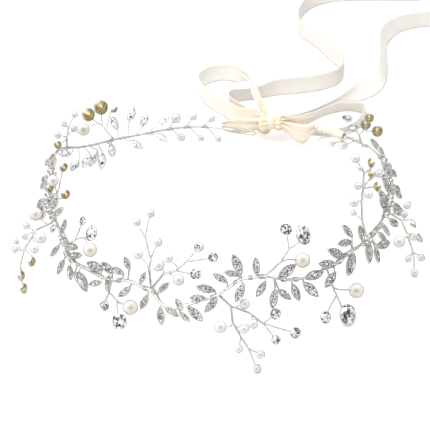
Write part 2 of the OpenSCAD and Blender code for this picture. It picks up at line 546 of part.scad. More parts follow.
tail_2 = [
    [33.2, 94.8, 9.6, 0, 0, 0.5], [36, 100.5, 8.6, 0, 0, 0.44], [43, 110, 6, 0, 0, 0.4], [53, 121.5, 1, 0, 0, 0.38],
    [63, 131.5, 0, 0, 0, 0.4], [75, 139.4, 0, 0, -1, 0.6], [85, 143.8, 0, -2, 2, 0.82], [92.6, 147, 0, -5, 6],
    [100.6, 153, 0, -7, 7], [107, 161.6, 0, -7.6, 7], [111, 171.6, 0, -7.2, 5], [113.4, 184, 0, -6.4, 2],
    [115.8, 205, 0, -6, 0], [117.8, 223, 0, -6, 0], [121, 233, 0, -6, 1], [127, 243, 0, -4, 2],
    [134, 249.5, 0, -1, 1], [144, 254, 0, 0, 0], [154, 256, 0, 0, 0]];
left_end = [
    [1, 92.8, 12, 0, 0, 0.3], [5, 92, 9.8, 0, 0, 0.62], [11, 90.8, 8.8, 0, 0, 0.84],
    [16, 90, 10, 0, 0, 0.76], [22, 90.4, 12, 0, 0, 0.6]];
right_end = [
    [38.8, 87.6, 12.6, 0, 0, 0.54], [43, 84.4, 9.6, 0, 1, 0.8], [48, 82.8, 7.4, 0, 1.4, 0.94],
    [51.4, 83, 7.6, 0, 1, 0.9], [54, 84.4, 10.4, 0, 0, 0.7], [56.8, 85.7, 12.8, 0, 0, 0.54]];

module ribbon(rows) {
    color(ivory) strip(smooth(ribbon_rows(rows), 2), ribbon_t);
}

module ribbon_left_loop() ribbon(left_loop);
module ribbon_right_loop() ribbon(right_loop);
module ribbon_tail_1() ribbon(tail_1);
module ribbon_tail_2() ribbon(tail_2);
module ribbon_left_end() ribbon(left_end);
module ribbon_right_end() ribbon(right_end);

// The knot: a plump fold of ribbon drawn tight round the bow's middle
module ribbon_knot() {
    color(ivory) hull() {
        translate([27, 90, 17]) sphere(d = 9.2, $fn = 16);
        translate([30, 90, 19.6]) sphere(d = 10, $fn = 16);
        translate([30.6, 90, 14.4]) sphere(d = 10, $fn = 16);
        translate([34.6, 89.4, 17]) sphere(d = 8.4, $fn = 16);
    }
}

// The ribbon wound round the vine's right end
module ribbon_wrap() {
    path = [for (angle = [134.6 : 1.45 : 145.4]) vine_point(angle)];
    longer = [for (angle = [133.15 : 1.45 : 147]) vine_point(min(angle, 145.9)) +
        (angle > 145.9 ? (angle - 145.9) * 1.6 * tangent(146) : [0, 0, 0])];
    color(ivory) difference() {
        wire(path, 5.4, 10);
        wire(longer, vine_d + 0.6, wire_sides);
    }
}

vine_wire();
for (s = sprigs)
    leaf_sprig(s[1], len(s) > 2 ? s[2] : [0, 0, 0]);
for (s = sprays) {
    spray_stems(s);
    spray_pearls(s);
    spray_glass(s);
}
marquise_settings();
marquise_stones();
twig_beads();
ribbon_left_loop();
ribbon_right_loop();
ribbon_tail_1();
ribbon_tail_2();
ribbon_left_end();
ribbon_right_end();
ribbon_knot();
ribbon_wrap();
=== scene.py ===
import math
import random

import bmesh
import bpy
from mathutils import Matrix, Vector


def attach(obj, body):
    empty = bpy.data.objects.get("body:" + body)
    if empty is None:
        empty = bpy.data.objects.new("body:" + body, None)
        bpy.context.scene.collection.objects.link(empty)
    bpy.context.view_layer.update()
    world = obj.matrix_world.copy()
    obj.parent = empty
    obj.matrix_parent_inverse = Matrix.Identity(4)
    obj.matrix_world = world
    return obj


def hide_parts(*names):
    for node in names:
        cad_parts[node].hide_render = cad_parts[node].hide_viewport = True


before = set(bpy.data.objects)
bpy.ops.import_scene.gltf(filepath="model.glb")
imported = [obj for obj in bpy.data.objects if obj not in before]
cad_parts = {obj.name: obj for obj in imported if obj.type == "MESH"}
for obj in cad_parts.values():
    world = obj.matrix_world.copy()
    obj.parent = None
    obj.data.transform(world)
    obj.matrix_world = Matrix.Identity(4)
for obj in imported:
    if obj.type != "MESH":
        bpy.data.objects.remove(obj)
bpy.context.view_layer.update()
mm = 0.001
print("frame loaded")


# small helpers
def pickNone():
    bpy.ops.object.select_all(action="DESELECT")


def only(obj):
    pickNone()
    obj.select_set(True)
    bpy.context.view_layer.objects.active = obj


def settle(obj):
    only(obj)
    bpy.ops.object.transform_apply(location=True, rotation=True, scale=True)


def inMode(mode):
    bpy.ops.object.mode_set(mode=mode)


# out of edit mode, with every face turned outward
def closeMesh():
    bpy.ops.mesh.select_all(action="SELECT")
    bpy.ops.mesh.normals_make_consistent(inside=False)
    inMode("OBJECT")


def applyModifiers(obj):
    only(obj)
    for modifier in list(obj.modifiers):
        bpy.ops.object.modifier_apply(modifier=modifier.name)


def keep(obj, name, slot, *nodes):
    obj.name = name
    obj.data.name = name
    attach(obj, "root")
    if nodes:
        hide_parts(*nodes)
    return obj


def placeObject(data):
    obj = bpy.data.objects.new(data.name, data)
    bpy.context.scene.collection.objects.link(obj)
    return obj


def meshObject(points, faces, edges=()):
    mesh = bpy.data.meshes.new("shape")
    mesh.from_pydata(points, edges, faces)
    return placeObject(mesh)


def dress(obj, look):
    obj.data.materials.clear()
    obj.data.materials.append(finish[look])


# one copy of a model's mesh at each place, joined as one piece
def setOut(name, places):
    model = models[name]
    joined = bmesh.new()
    for place in places:
        copy = model.data.copy()
        copy.transform(place)
        joined.from_mesh(copy)
        bpy.data.meshes.remove(copy)
    mesh = bpy.data.meshes.new("set")
    joined.to_mesh(mesh)
    joined.free()
    for material in model.data.materials:
        mesh.materials.append(material)
    return placeObject(mesh)


def joinPieces(pieces):
    pickNone()
    for piece in pieces:
        piece.select_set(True)
    bpy.context.view_layer.objects.active = pieces[0]
    bpy.ops.object.join()
    return pieces[0]


# a shader node with its own settings and its sockets' values
def addNode(tree, kind, sockets=None, **settings):
    node = tree.nodes.new("ShaderNode" + kind)
    for name, value in settings.items():
        setattr(node, name, value)
    for name, value in (sockets or {}).items():
        node.inputs[name].default_value = value
    return node


def mixColours(tree, sockets, blend="MIX"):
    return addNode(tree, "Mix", sockets, data_type="RGBA", blend_type=blend)


# rows: a node, its output, the node that it feeds, that node's input
def feed(tree, *rows):
    for source, output, target, socket in rows:
        tree.links.new(source.outputs[output], target.inputs[socket])


# camera, floor and lights
view = {
    "target": (0, 0, 23), "distance": 620, "elevation": 34.3, "lens": 97.1, "sensor": 36,
    "shift": (-0.0116, -0.0372), "nearest": 0.01,
}
studio = {
    "floorSize": 6, "floorDrop": 0.0002, "floorColour": (0.96, 0.96, 0.96, 1),
    "floorBounce": (0.74, 0.74, 0.73, 1), "floorGlow": 0.22, "floorRough": 0.75, "floorShine": 0.2,
    "skyTop": 0.85, "skyEdge": 0.34, "skyHigh": 0.8,
    "lamps": [  # name, place in mm, size in mm, watts; each looks at the ring's middle
        ("topBox", (-250, -100, 1100), 1500, 13),
        ("frontBox", (-260, -620, 1080), 260, 3.6),
    ],
}


def makeStudio():
    lean = math.radians(view["elevation"])
    middle = Vector(view["target"]) * mm
    bpy.ops.object.camera_add(
        location=middle + view["distance"] * mm * Vector((0, -math.cos(lean), math.sin(lean))),
        rotation=(math.pi / 2 - lean, 0, 0))
    camera = bpy.context.object
    camera.data.lens = view["lens"]
    camera.data.sensor_width = view["sensor"]
    camera.data.shift_x, camera.data.shift_y = view["shift"]
    camera.data.clip_start = view["nearest"]
    bpy.context.scene.camera = camera
    bpy.context.scene.view_settings.view_transform = "Standard"

    bpy.ops.mesh.primitive_plane_add(size=studio["floorSize"], location=(0, 0, -studio["floorDrop"]))
    floor = bpy.context.object
    floor.name = "studioFloor"
    paint = bpy.data.materials.new("palePaper")
    paint.use_nodes = True
    tree = paint.node_tree
    shader = tree.nodes["Principled BSDF"]
    shader.inputs["Roughness"].default_value = studio["floorRough"]
    shader.inputs["Specular IOR Level"].default_value = studio["floorShine"]
    shader.inputs["Emission Color"].default_value = (1, 1, 1, 1)
    path = addNode(tree, "LightPath")
    # the floor throws back less light than it shows, and only the camera sees its glow
    seen = mixColours(tree, {"A": studio["floorBounce"], "B": studio["floorColour"]})
    glow = addNode(tree, "Math", {1: studio["floorGlow"]}, operation="MULTIPLY")
    feed(tree, (path, "Is Camera Ray", seen, "Factor"), (path, "Is Camera Ray", glow, 0),
         (seen, "Result", shader, "Base Color"), (glow, 0, shader, "Emission Strength"))
    floor.data.materials.append(paint)

    for name, place, size, watts in studio["lamps"]:
        turn = (-Vector(place)).to_track_quat("-Z", "Y").to_euler()
        bpy.ops.object.light_add(type="AREA", location=Vector(place) * mm, rotation=turn)
        lamp = bpy.context.object
        lamp.name = name
        lamp.data.size = size * mm
        lamp.data.energy = watts

    world = bpy.data.worlds.new("paleStudio")
    bpy.context.scene.world = world
    world.use_nodes = True
    tree = world.node_tree
    tree.nodes.clear()
    place = addNode(tree, "TexCoord")
    split = addNode(tree, "SeparateXYZ")
    ramp = addNode(tree, "MapRange", {
        "From Max": studio["skyHigh"], "To Min": studio["skyEdge"], "To Max": studio["skyTop"]})
    light = addNode(tree, "Background")
    out = addNode(tree, "OutputWorld")
    feed(tree, (place, "Generated", split, 0), (split, "Z", ramp, "Value"),
         (ramp, "Result", light, "Strength"), (light, 0, out, "Surface"))
    print("studio ready")


pickNone()
makeStudio()


# materials
def newMaterial(name, **values):
    material = bpy.data.materials.new(name)
    material.use_nodes = True
    tree = material.node_tree
    shader = tree.nodes["Principled BSDF"]
    for socket, value in values.items():
        shader.inputs[socket.replace("_", " ")].default_value = value
    return material, tree, shader


def newGroup(name, inputs, outputs):
    group = bpy.data.node_groups.new(name, "ShaderNodeTree")
    for label, kind in inputs:
        group.interface.new_socket(label, in_out="INPUT", socket_type="NodeSocket" + kind)
    for label in outputs:
        group.interface.new_socket(label, in_out="OUTPUT", socket_type="NodeSocketFloat")
    return group, group.nodes.new("NodeGroupInput"), group.nodes.new("NodeGroupOutput")


# fine unevenness that the metals, pearls and beads share
grainSockets = ("Scale", "Rough Low", "Rough High", "Depth")
grainBump = 0.0001


def fineGrainGroup():
    group, given, made = newGroup(
        "fineGrain", [("Vector", "Vector")] + [(label, "Float") for label in grainSockets],
        ["Roughness", "Height", "Mask"])
    noise = addNode(group, "TexNoise", {"Detail": 4})
    spread = addNode(group, "MapRange")
    depth = addNode(group, "Math", operation="MULTIPLY")
    feed(group, (given, "Vector", noise, "Vector"), (given, "Scale", noise, "Scale"),
         (noise, "Fac", spread, "Value"), (given, "Rough Low", spread, "To Min"),
         (given, "Rough High", spread, "To Max"), (noise, "Fac", depth, 0), (given, "Depth", depth, 1),
         (spread, "Result", made, "Roughness"), (depth, 0, made, "Height"), (noise, "Fac", made, "Mask"))
    return group


fineGrain = fineGrainGroup()


# a surface between two colours, with its grain's scale, roughness from and to, and depth
def addGrain(tree, shader, low, high, scale, rough, depth):
    place = addNode(tree, "TexCoord")
    grain = addNode(tree, "Group", dict(zip(grainSockets, (scale, *rough, depth))), node_tree=fineGrain)
    bump = addNode(tree, "Bump", {"Distance": grainBump})
    mix = mixColours(tree, {"A": low, "B": high})
    feed(tree, (place, "Object", grain, "Vector"), (grain, "Roughness", shader, "Roughness"),
         (grain, "Height", bump, "Height"), (bump, "Normal", shader, "Normal"),
         (grain, "Mask", mix, "Factor"), (mix, "Result", shader, "Base Color"))


def metal(name, *surface):
    material, tree, shader = newMaterial(name, Metallic=1.0)
    addGrain(tree, shader, *surface)
    return material


# a ball's colour multiplied from its middle, as seen, out to its rim: a soft dark middle that is a painted
# reflection, a pale body, a grey edge that is painted shade
paintedBallStops = [(0.10, (0.93, 0.93, 0.93, 1)), (0.24, (1, 1, 1, 1)), (0.44, (1, 1, 1, 1))]
pearlGrain = (260, (0.16, 0.34), 0.25)
milkGrain = (300, (0.05, 0.2), 0.15)


def colourRamp(tree, first, stops, last):
    ramp = addNode(tree, "ValToRGB")
    ramp.color_ramp.elements[0].color = first
    ramp.color_ramp.elements[1].color = last
    for at, colour in stops:
        ramp.color_ramp.elements.new(at).color = colour
    return ramp


# painted light on a ball: its middle colour is a painted reflection and its rim colour is painted shade, set
# by how squarely it faces the view
def paintBallShading(tree, shader, middle, rim):
    turning = addNode(tree, "LayerWeight", {"Blend": 0.5})
    ramp = colourRamp(tree, middle, paintedBallStops, rim)
    mix = mixColours(tree, {"Factor": 1.0}, "MULTIPLY")
    tree.links.new(shader.inputs["Base Color"].links[0].from_socket, mix.inputs["A"])
    feed(tree, (turning, "Facing", ramp, "Fac"), (ramp, "Color", mix, "B"),
         (mix, "Result", shader, "Base Color"))


# middle is the colour of the painted reflection in a pearl's middle, rim the colour of its painted rim shade
def pearlGloss(name, low, high, middle, rim):
    material, tree, shader = newMaterial(
        name, Coat_Weight=0.35, Coat_Roughness=0.08, Specular_IOR_Level=0.3)
    addGrain(tree, shader, low, high, *pearlGrain)
    paintBallShading(tree, shader, middle, rim)
    return material


# painted reflection: each facet's value, kept on the face, picks a colour from black to white and stands for
# what a foiled stone throws back
def foiledCrystal(name, dark, middle):
    material, tree, shader = newMaterial(
        name, Metallic=0.2, Roughness=0.1, Coat_Weight=0.7, Coat_Roughness=0.03, IOR=1.6)
    reflectionNode = addNode(tree, "Attribute", attribute_name="paintedFacetReflection")
    # painted reflections: black, dark, middle, pale and white facets
    ramp = colourRamp(
        tree, (0.02, 0.02, 0.022, 1), [(0.2, dark), (0.5, middle), (0.75, (0.87, 0.865, 0.86, 1))],
        (0.98, 0.98, 0.97, 1))
    feed(tree, (reflectionNode, "Fac", ramp, "Fac"), (ramp, "Color", shader, "Base Color"))
    return material


# a bead that is half clear and half white, so that it stays pale on any ground
def milkGlass(name):
    material, tree, shader = newMaterial(
        name, Transmission_Weight=0.35, IOR=1.5, Coat_Weight=0.4, Coat_Roughness=0.05)
    addGrain(tree, shader, (0.93, 0.93, 0.925, 1), (0.99, 0.99, 0.985, 1), *milkGrain)
    # a painted reflection in the bead's middle and painted shade at its rim
    paintBallShading(tree, shader, (0.66, 0.66, 0.65, 1), (0.24, 0.24, 0.25, 1))
    return material


metals = [  # name, darker, lighter, grain's scale, its roughness, its depth
    ("silverWire", (0.62, 0.60, 0.57, 1), (0.88, 0.865, 0.84, 1), 900, (0.30, 0.50), 0.5),
    ("silverBundle", (0.66, 0.65, 0.635, 1), (0.86, 0.85, 0.835, 1), 900, (0.34, 0.54), 0.5),
    ("silverLeaf", (0.48, 0.465, 0.44, 1), (1.0, 0.985, 0.955, 1), 1500, (0.22, 0.46), 1.0),
    ("silverPale", (0.72, 0.715, 0.71, 1), (0.91, 0.905, 0.90, 1), 900, (0.34, 0.54), 0.4),
    ("goldFoil", (0.32, 0.24, 0.08, 1), (0.60, 0.47, 0.20, 1), 700, (0.28, 0.50), 0.8),
]
finish = {row[0]: metal(*row) for row in metals}
# each pearl's last two colours are its painted middle reflection and its painted rim shade
finish["pearlWhite"] = pearlGloss(
    "pearlWhite", (0.80, 0.79, 0.77, 1), (0.89, 0.88, 0.865, 1), (0.58, 0.56, 0.54, 1), (0.24, 0.24, 0.24, 1))
finish["pearlCream"] = pearlGloss(
    "pearlCream", (0.80, 0.77, 0.70, 1), (0.89, 0.865, 0.80, 1), (0.60, 0.55, 0.46, 1), (0.28, 0.25, 0.20, 1))
# the dark and middle colours of the painted facet reflections
finish["foiledCrystal"] = foiledCrystal("foiledCrystal", (0.10, 0.115, 0.15, 1), (0.48, 0.51, 0.58, 1))
finish["paveCrystal"] = foiledCrystal("paveCrystal", (0.11, 0.105, 0.10, 1), (0.54, 0.53, 0.51, 1))
finish["milkGlass"] = milkGlass("milkGlass")
print("materials ready")


# the ring that the headpiece follows
ring = {"radius": 92, "lean": 34, "height": 23, "tilt": 10}
up = Vector((0, 0, 1))


def radial(angle):
    return Vector((math.sin(math.radians(angle)), -math.cos(math.radians(angle)), 0))


def tangent(angle):
    return Vector((math.cos(math.radians(angle)), math.sin(math.radians(angle)), 0))


def slopeUp(angle):
    lean = math.radians(ring["lean"])
    return math.cos(lean) * up - math.sin(lean) * radial(angle)


def slopeOut(angle):
    lean = math.radians(ring["lean"])
    return math.cos(lean) * radial(angle) + math.sin(lean) * up


# a place on the band in metres, from its angle, rise and lift in mm
def onBand(angle, rise, lift):
    height = ring["height"] + ring["tilt"] * math.cos(math.radians(angle))
    middle = ring["radius"] * radial(angle) + height * up
    return mm * (middle + rise * slopeUp(angle) + lift * slopeOut(angle))


def squareTo(v, d):
    return (v - v.dot(d) * d).normalized()


# the first of two directions that isn't nearly along d, made square to d
def sideOf(d, first, other):
    return squareTo(first if abs(d.dot(first)) < 0.9 else other, d)


def blendRows(a, b, c, d, t):
    return tuple(
        0.5 * (2 * q + (r - p) * t + (2 * p - 5 * q + 4 * r - s) * t * t + (3 * q - p - 3 * r + s) * t ** 3)
        for p, q, r, s in zip(a, b, c, d))


def smoothRows(rows, steps):
    ends = [rows[0], *rows, rows[-1]]
    fine = [blendRows(*ends[i:i + 4], k / steps) for i in range(len(rows) - 1) for k in range(steps)]
    return fine + [tuple(rows[-1])]


# the vine's run: angle, rise, lift
vineRows = [
    (-187, 1, -3), (-180, 0.5, -1), (-171, -0.5, 1), (-162, 0, 1), (-150, 0, 1), (-140, -1, 3),
    (-131, -1.5, 5), (-125, -2, 8), (-119, -2.5, 13), (-114, -1.5, 11), (-107, 0.5, 6),
    (-99, 0.5, 1.5), (-90, -0.5, -1.5), (-79, 2, -2.5), (-72, 3.5, -2), (-67, 4.5, -0.5), (-62, 3, 0),
    (-56.5, 2.5, 0), (-54, -1, 0), (-50, -2.5, 0), (-46, -2.5, 0), (-40, -1.5, 0), (-35, -3, 0),
    (-28, 0, 0), (-22, -1.5, 0), (-19, -2, 0), (-16.5, -7, 0), (-12, -8.5, 0), (-8.5, -5, 0),
    (-2, -2, 0), (3, 3, 0), (6, 6, 0), (13.5, 6.5, 0), (19, 3.5, 0), (23.5, 2.5, 0), (29, 2, 0),
    (33, 3.5, 0), (37.5, 3.5, 0), (42, 5.5, 0), (49, 6, 0), (53.5, 5, 0), (58, 6.5, -0.5), (66, 5, -3),
    (75, 3, -4), (84, 2, -3.5), (96, 0, 0), (107, -0.5, 4.5), (115, -2, 8.5), (122, -1.5, 10),
    (129, -3, 10), (136, -3, 10), (141, -4, 10.5), (146, -5, 10)]
vineFine = smoothRows(vineRows, 2)


def vinePlace(angle, off=0.0):
    angle = min(max(angle, vineFine[0][0]), vineFine[-1][0])
    for a, b in zip(vineFine, vineFine[1:]):
        if angle <= b[0]:
            share = (angle - a[0]) / (b[0] - a[0])
            return angle, a[1] + share * (b[1] - a[1]), a[2] + share * (b[2] - a[2]) + off


def vinePoint(angle, off=0.0):
    return onBand(*vinePlace(angle, off))


# wires
def headingAt(path, i):
    return (path[min(i + 1, len(path) - 1)] - path[max(i - 1, 0)]).normalized()


def around(turn, side, other):
    return math.cos(turn) * side + math.sin(turn) * other


# evenly spaced turns once round, the last on the first
def roundTurns(steps=32):
    return [2 * math.pi * i / steps for i in range(steps + 1)]


def pathFrames(path):
    side = sideOf(headingAt(path, 0), up, Vector((1, 0, 0)))
    frames = []
    for i, point in enumerate(path):
        side = squareTo(side, headingAt(path, i))
        frames.append((point, side, headingAt(path, i).cross(side)))
    return frames


def evenPath(path, step):
    lengths = [(b - a).length for a, b in zip(path, path[1:])]
    total = sum(lengths)
    count = max(2, round(total / step))
    points, i, passed = [], 0, 0.0
    for k in range(count + 1):
        want = total * k / count
        while i < len(lengths) - 1 and passed + lengths[i] < want:
            passed += lengths[i]
            i += 1
        points.append(path[i].lerp(path[i + 1], min(1.0, (want - passed) / max(lengths[i], 1e-9))))
    return points


# strands that turn about each other along a path
def twisted(path, strands, reach, pitch, step, start=0.0):
    frames = pathFrames(evenPath(path, step))
    walked = [0.0]
    for a, b in zip(frames, frames[1:]):
        walked.append(walked[-1] + (b[0] - a[0]).length)
    return [
        [point + reach * around(start + 2 * math.pi * (k / strands + far / pitch), side, other)
         for far, (point, side, other) in zip(walked, frames)]
        for k in range(strands)]


# round wires drawn as one curve and then made a mesh
def drawWires(routes, thickness, roundness=0):
    curve = bpy.data.curves.new("wires", "CURVE")
    curve.dimensions = "3D"
    curve.bevel_depth = thickness / 2
    curve.bevel_resolution = roundness
    curve.use_fill_caps = True
    for route in routes:
        spline = curve.splines.new("POLY")
        spline.points.add(len(route) - 1)
        for place, point in zip(spline.points, route):
            place.co = (*point, 1)
    only(placeObject(curve))
    bpy.ops.object.convert(target="MESH")
    obj = bpy.context.object
    obj.data.polygons.foreach_set("use_smooth", [True] * len(obj.data.polygons))
    return obj


def roundedPath(points, steps=5):
    return [Vector(p) for p in smoothRows([tuple(p) for p in points], steps)]


# the vine: a bundle of silver wires, an eye at its left end, and twigs of clear beads
vineLook = {
    "strands": 5, "strandWidth": 0.64, "reach": 0.49, "pitch": 10, "step": 0.7,
    "eyeMiddle": (-190.6, 1.5, -3.6), "eyeFacing": -190, "eyeLong": 5.2, "eyeHigh": 3.4, "eyeReach": 0.2,
    "eyePitch": 1.9, "eyeStep": 0.3, "eyeCoil": -186, "stemWidth": 0.54, "stemPitch": 2.5, "stemStep": 0.26,
    "stemPast": 0.35,
}
# vine angle, then the bead: angle, rise, lift, size
twigs = [
    (-160.5, -163.9, 3.6, 5.9, 6.4), (-161.5, -165, -3.4, -3.8, 5.2), (-167, -170.4, 3, 6, 4.8),
    (-168.5, -172.6, -4, -5.2, 4.2), (-173.6, -177, 3.4, 4, 4.6), (-175, -179.2, -3.8, -6, 4.2)]


def twigTip(row):
    return onBand(row[1], row[2], row[3])


def twigWay(row):
    return (twigTip(row) - vinePoint(row[0])).normalized()


# a stem of two fine strands, or of more where it carries more ends
def stemStrands(path, start=0.0, ends=1):
    strands = min(ends + 1, 5)
    reach = vineLook["stemWidth"] / 2 / math.sin(math.pi / strands)
    pitch = vineLook["stemPitch"] * strands / 2
    return twisted(roundedPath(path), strands, reach * mm, pitch * mm, vineLook["stemStep"] * mm, start)


# fine wire wound tightly on the vine, where a stem or a twig leaves it
binding = {
    "width": 0.34, "pitch": 0.36, "perTurn": 12, "eyeTurns": 8, "twigTurns": 5, "twigRadius": 1.0,
    "hubTurns": 6, "hubRadius": 0.98, "hubBack": 0.8, "frameTurns": 4,
    "sprigTurns": 5, "sprigPerTurn": 16, "sprigLift": 1.2, "sprigReach": (2.25, 1.15), "sprigRoom": 1.6,
}


# the angles along the ring at which wire with that many turns stands, evenly spaced
def windAngles(angle, turns, perTurn):
    arc = binding["pitch"] * turns / (ring["radius"] * math.radians(1))
    return [angle - arc / 2 + arc * i / (turns * perTurn) for i in range(turns * perTurn + 1)]


def windOnVine(angle, turns, radius):
    points = []
    for i, at in enumerate(windAngles(angle, turns, binding["perTurn"])):
        turn = math.radians(180 + 360 * i / binding["perTurn"])
        points.append(vinePoint(at) + radius * mm * around(turn, slopeOut(at), slopeUp(at)))
    return points


def makeVine():
    path = [onBand(*place) for place in vineFine]
    bundle = twisted(
        roundedPath(path, 3), vineLook["strands"], vineLook["reach"] * mm, vineLook["pitch"] * mm,
        vineLook["step"] * mm)
    middle = onBand(*vineLook["eyeMiddle"])
    way = (middle - path[0]).normalized()
    high = vineLook["eyeHigh"] * slopeUp(vineLook["eyeFacing"])
    eye = [middle + mm * around(math.pi + turn, vineLook["eyeLong"] * way, high) for turn in roundTurns()]
    stems = twisted(
        eye, 2, vineLook["eyeReach"] * mm, vineLook["eyePitch"] * mm, vineLook["eyeStep"] * mm)
    coils = [windOnVine(vineLook["eyeCoil"], binding["eyeTurns"], binding["twigRadius"])]
    thick = drawWires(bundle, vineLook["strandWidth"] * mm, 1)
    for row in twigs:
        start, tip = vinePoint(row[0]), twigTip(row)
        end = tip + twigWay(row) * (row[4] / 2 + vineLook["stemPast"]) * mm
        stems += stemStrands([start, start.lerp(tip, 0.4), end])
        coils.append(windOnVine(row[0], binding["twigTurns"], binding["twigRadius"]))
    fine = drawWires(stems, vineLook["stemWidth"] * mm)
    wound = drawWires(coils, binding["width"] * mm)
    vine = joinPieces([thick, fine, wound])
    dress(vine, "silverBundle")
    keep(vine, "vine_strands", "silver_wire", "vine_wire")
    print("vine ready")


# beads, pearls and stones that are modelled once
def makeBall(rings, dimple):
    pickNone()
    bpy.ops.mesh.primitive_uv_sphere_add(segments=rings * 2, ring_count=rings, radius=1)
    ball = bpy.context.object
    for vertex in ball.data.vertices:
        if abs(vertex.co.z) > 0.999:  # the drilled hole's mouth
            vertex.co.z *= dimple
    bpy.ops.object.shade_smooth()
    return ball


# the modelled almond's half width, for a half length of 1
almondHalf = 0.5


# how far an almond's edge is from its middle
def almondReach(turn, half):
    bow = (1 + half * half) / (2 * half)
    side = abs(math.sin(turn))
    return math.sqrt(bow * bow - (bow - half) ** 2 * (1 - side * side)) - (bow - half) * side


def addCircle(sides, radius, height, turn):
    bpy.ops.mesh.primitive_circle_add(
        vertices=sides, radius=radius, location=(0, 0, height), rotation=(0, 0, math.radians(turn)))


# rings of points become a cut stone; with a star its table is cut into small facets too
def makeCutStone(rings, almond=None, star=True):
    pickNone()
    addCircle(*rings[0])
    stone = bpy.context.object
    settle(stone)
    inMode("EDIT")
    for row in rings[1:]:
        addCircle(*row)
    inMode("OBJECT")
    if almond:
        for vertex in stone.data.vertices:
            reach = almondReach(math.atan2(vertex.co.y, vertex.co.x), almond)
            vertex.co.x *= reach
            vertex.co.y *= reach
    inMode("EDIT")
    bpy.ops.mesh.select_all(action="SELECT")
    bpy.ops.mesh.convex_hull(join_triangles=False)
    bpy.ops.mesh.select_all(action="SELECT")
    bpy.ops.mesh.dissolve_limited(angle_limit=math.radians(2))
    closeMesh()
    if star:
        inMode("EDIT")
        bpy.ops.mesh.select_all(action="DESELECT")
        inMode("OBJECT")
        for face in stone.data.polygons:
            face.select = face.normal.z > 0.99
        inMode("EDIT")
        bpy.ops.mesh.inset(thickness=0.2)
        bpy.ops.mesh.poke()
        inMode("OBJECT")
    return stone


models = {
    "pearl": makeBall(16, 0.93),
    "bead": makeBall(12, 0.93),
    "roundStone": makeCutStone([  # sides, radius, height, turn
        (8, 0.56, 0.43, 0), (8, 0.80, 0.31, 22.5), (16, 1.0, 0.12, 0), (16, 1.0, 0.0, 0),
        (8, 0.46, -0.50, 22.5), (6, 0.03, -0.9, 0)]),
    "almondStone": makeCutStone([
        (8, 0.52, 0.40, 0), (8, 0.78, 0.29, 22.5), (16, 1.0, 0.08, 0), (16, 1.0, -0.04, 0),
        (8, 0.5, -0.34, 22.5), (6, 0.05, -0.5, 0)], almond=almondHalf),
    "paveStone": makeCutStone([
        (6, 0.55, 0.42, 0), (8, 0.98, 0.12, 10), (8, 1.0, -0.05, 10), (4, 0.4, -0.45, 0)], star=False),
}
for model in models.values():
    model.hide_render = True
for name, look in (
        ("pearl", "pearlWhite"), ("bead", "milkGlass"), ("roundStone", "foiledCrystal"),
        ("almondStone", "foiledCrystal"), ("paveStone", "paveCrystal")):
    dress(models[name], look)
models["roundStone"].data.materials.append(finish["goldFoil"])
for face in models["roundStone"].data.polygons:
    face.material_index = 1 if face.normal.z < -0.05 else 0


# a painted reflection value for each facet, from a table of shares: up to, lowest, highest; and a shift for
# each stone
def paintFacetReflections(obj, seed, kind, model):
    chance = random.Random(seed)
    facesEach = len(models[model].data.polygons)
    mesh = obj.data
    reflectionLayer = mesh.attributes.new("paintedFacetReflection", "FLOAT", "FACE")
    shares, shift = facetReflectionShares[kind]
    values = []
    for i in range(len(mesh.polygons)):
        if i % facesEach == 0:
            stoneShift = shift * (chance.random() - 0.5)
        pick = chance.random()
        for limit, low, high in shares:
            if pick < limit:
                values.append(min(max(low + (high - low) * chance.random() + stoneShift, 0.0), 1.0))
                break
    reflectionLayer.data.foreach_set("value", values)


# shares of dark, middle and bright painted reflections for each kind of stone
facetReflectionShares = {
    "large": ([(0.27, 0.0, 0.12), (0.52, 0.25, 0.6), (1.01, 0.72, 1.0)], 0.1),
    "clear": ([(0.12, 0.05, 0.2), (0.34, 0.5, 0.7), (1.01, 0.8, 1.0)], 0.1),
    "pave": ([(0.42, 0.0, 0.2), (0.64, 0.3, 0.6), (1.01, 0.78, 1.0)], 0.3),
}


def turned(point, z, x):
    y = z.cross(x)
    turn = Matrix((x, y, z)).transposed().to_4x4()
    return Matrix.Translation(point) @ turn


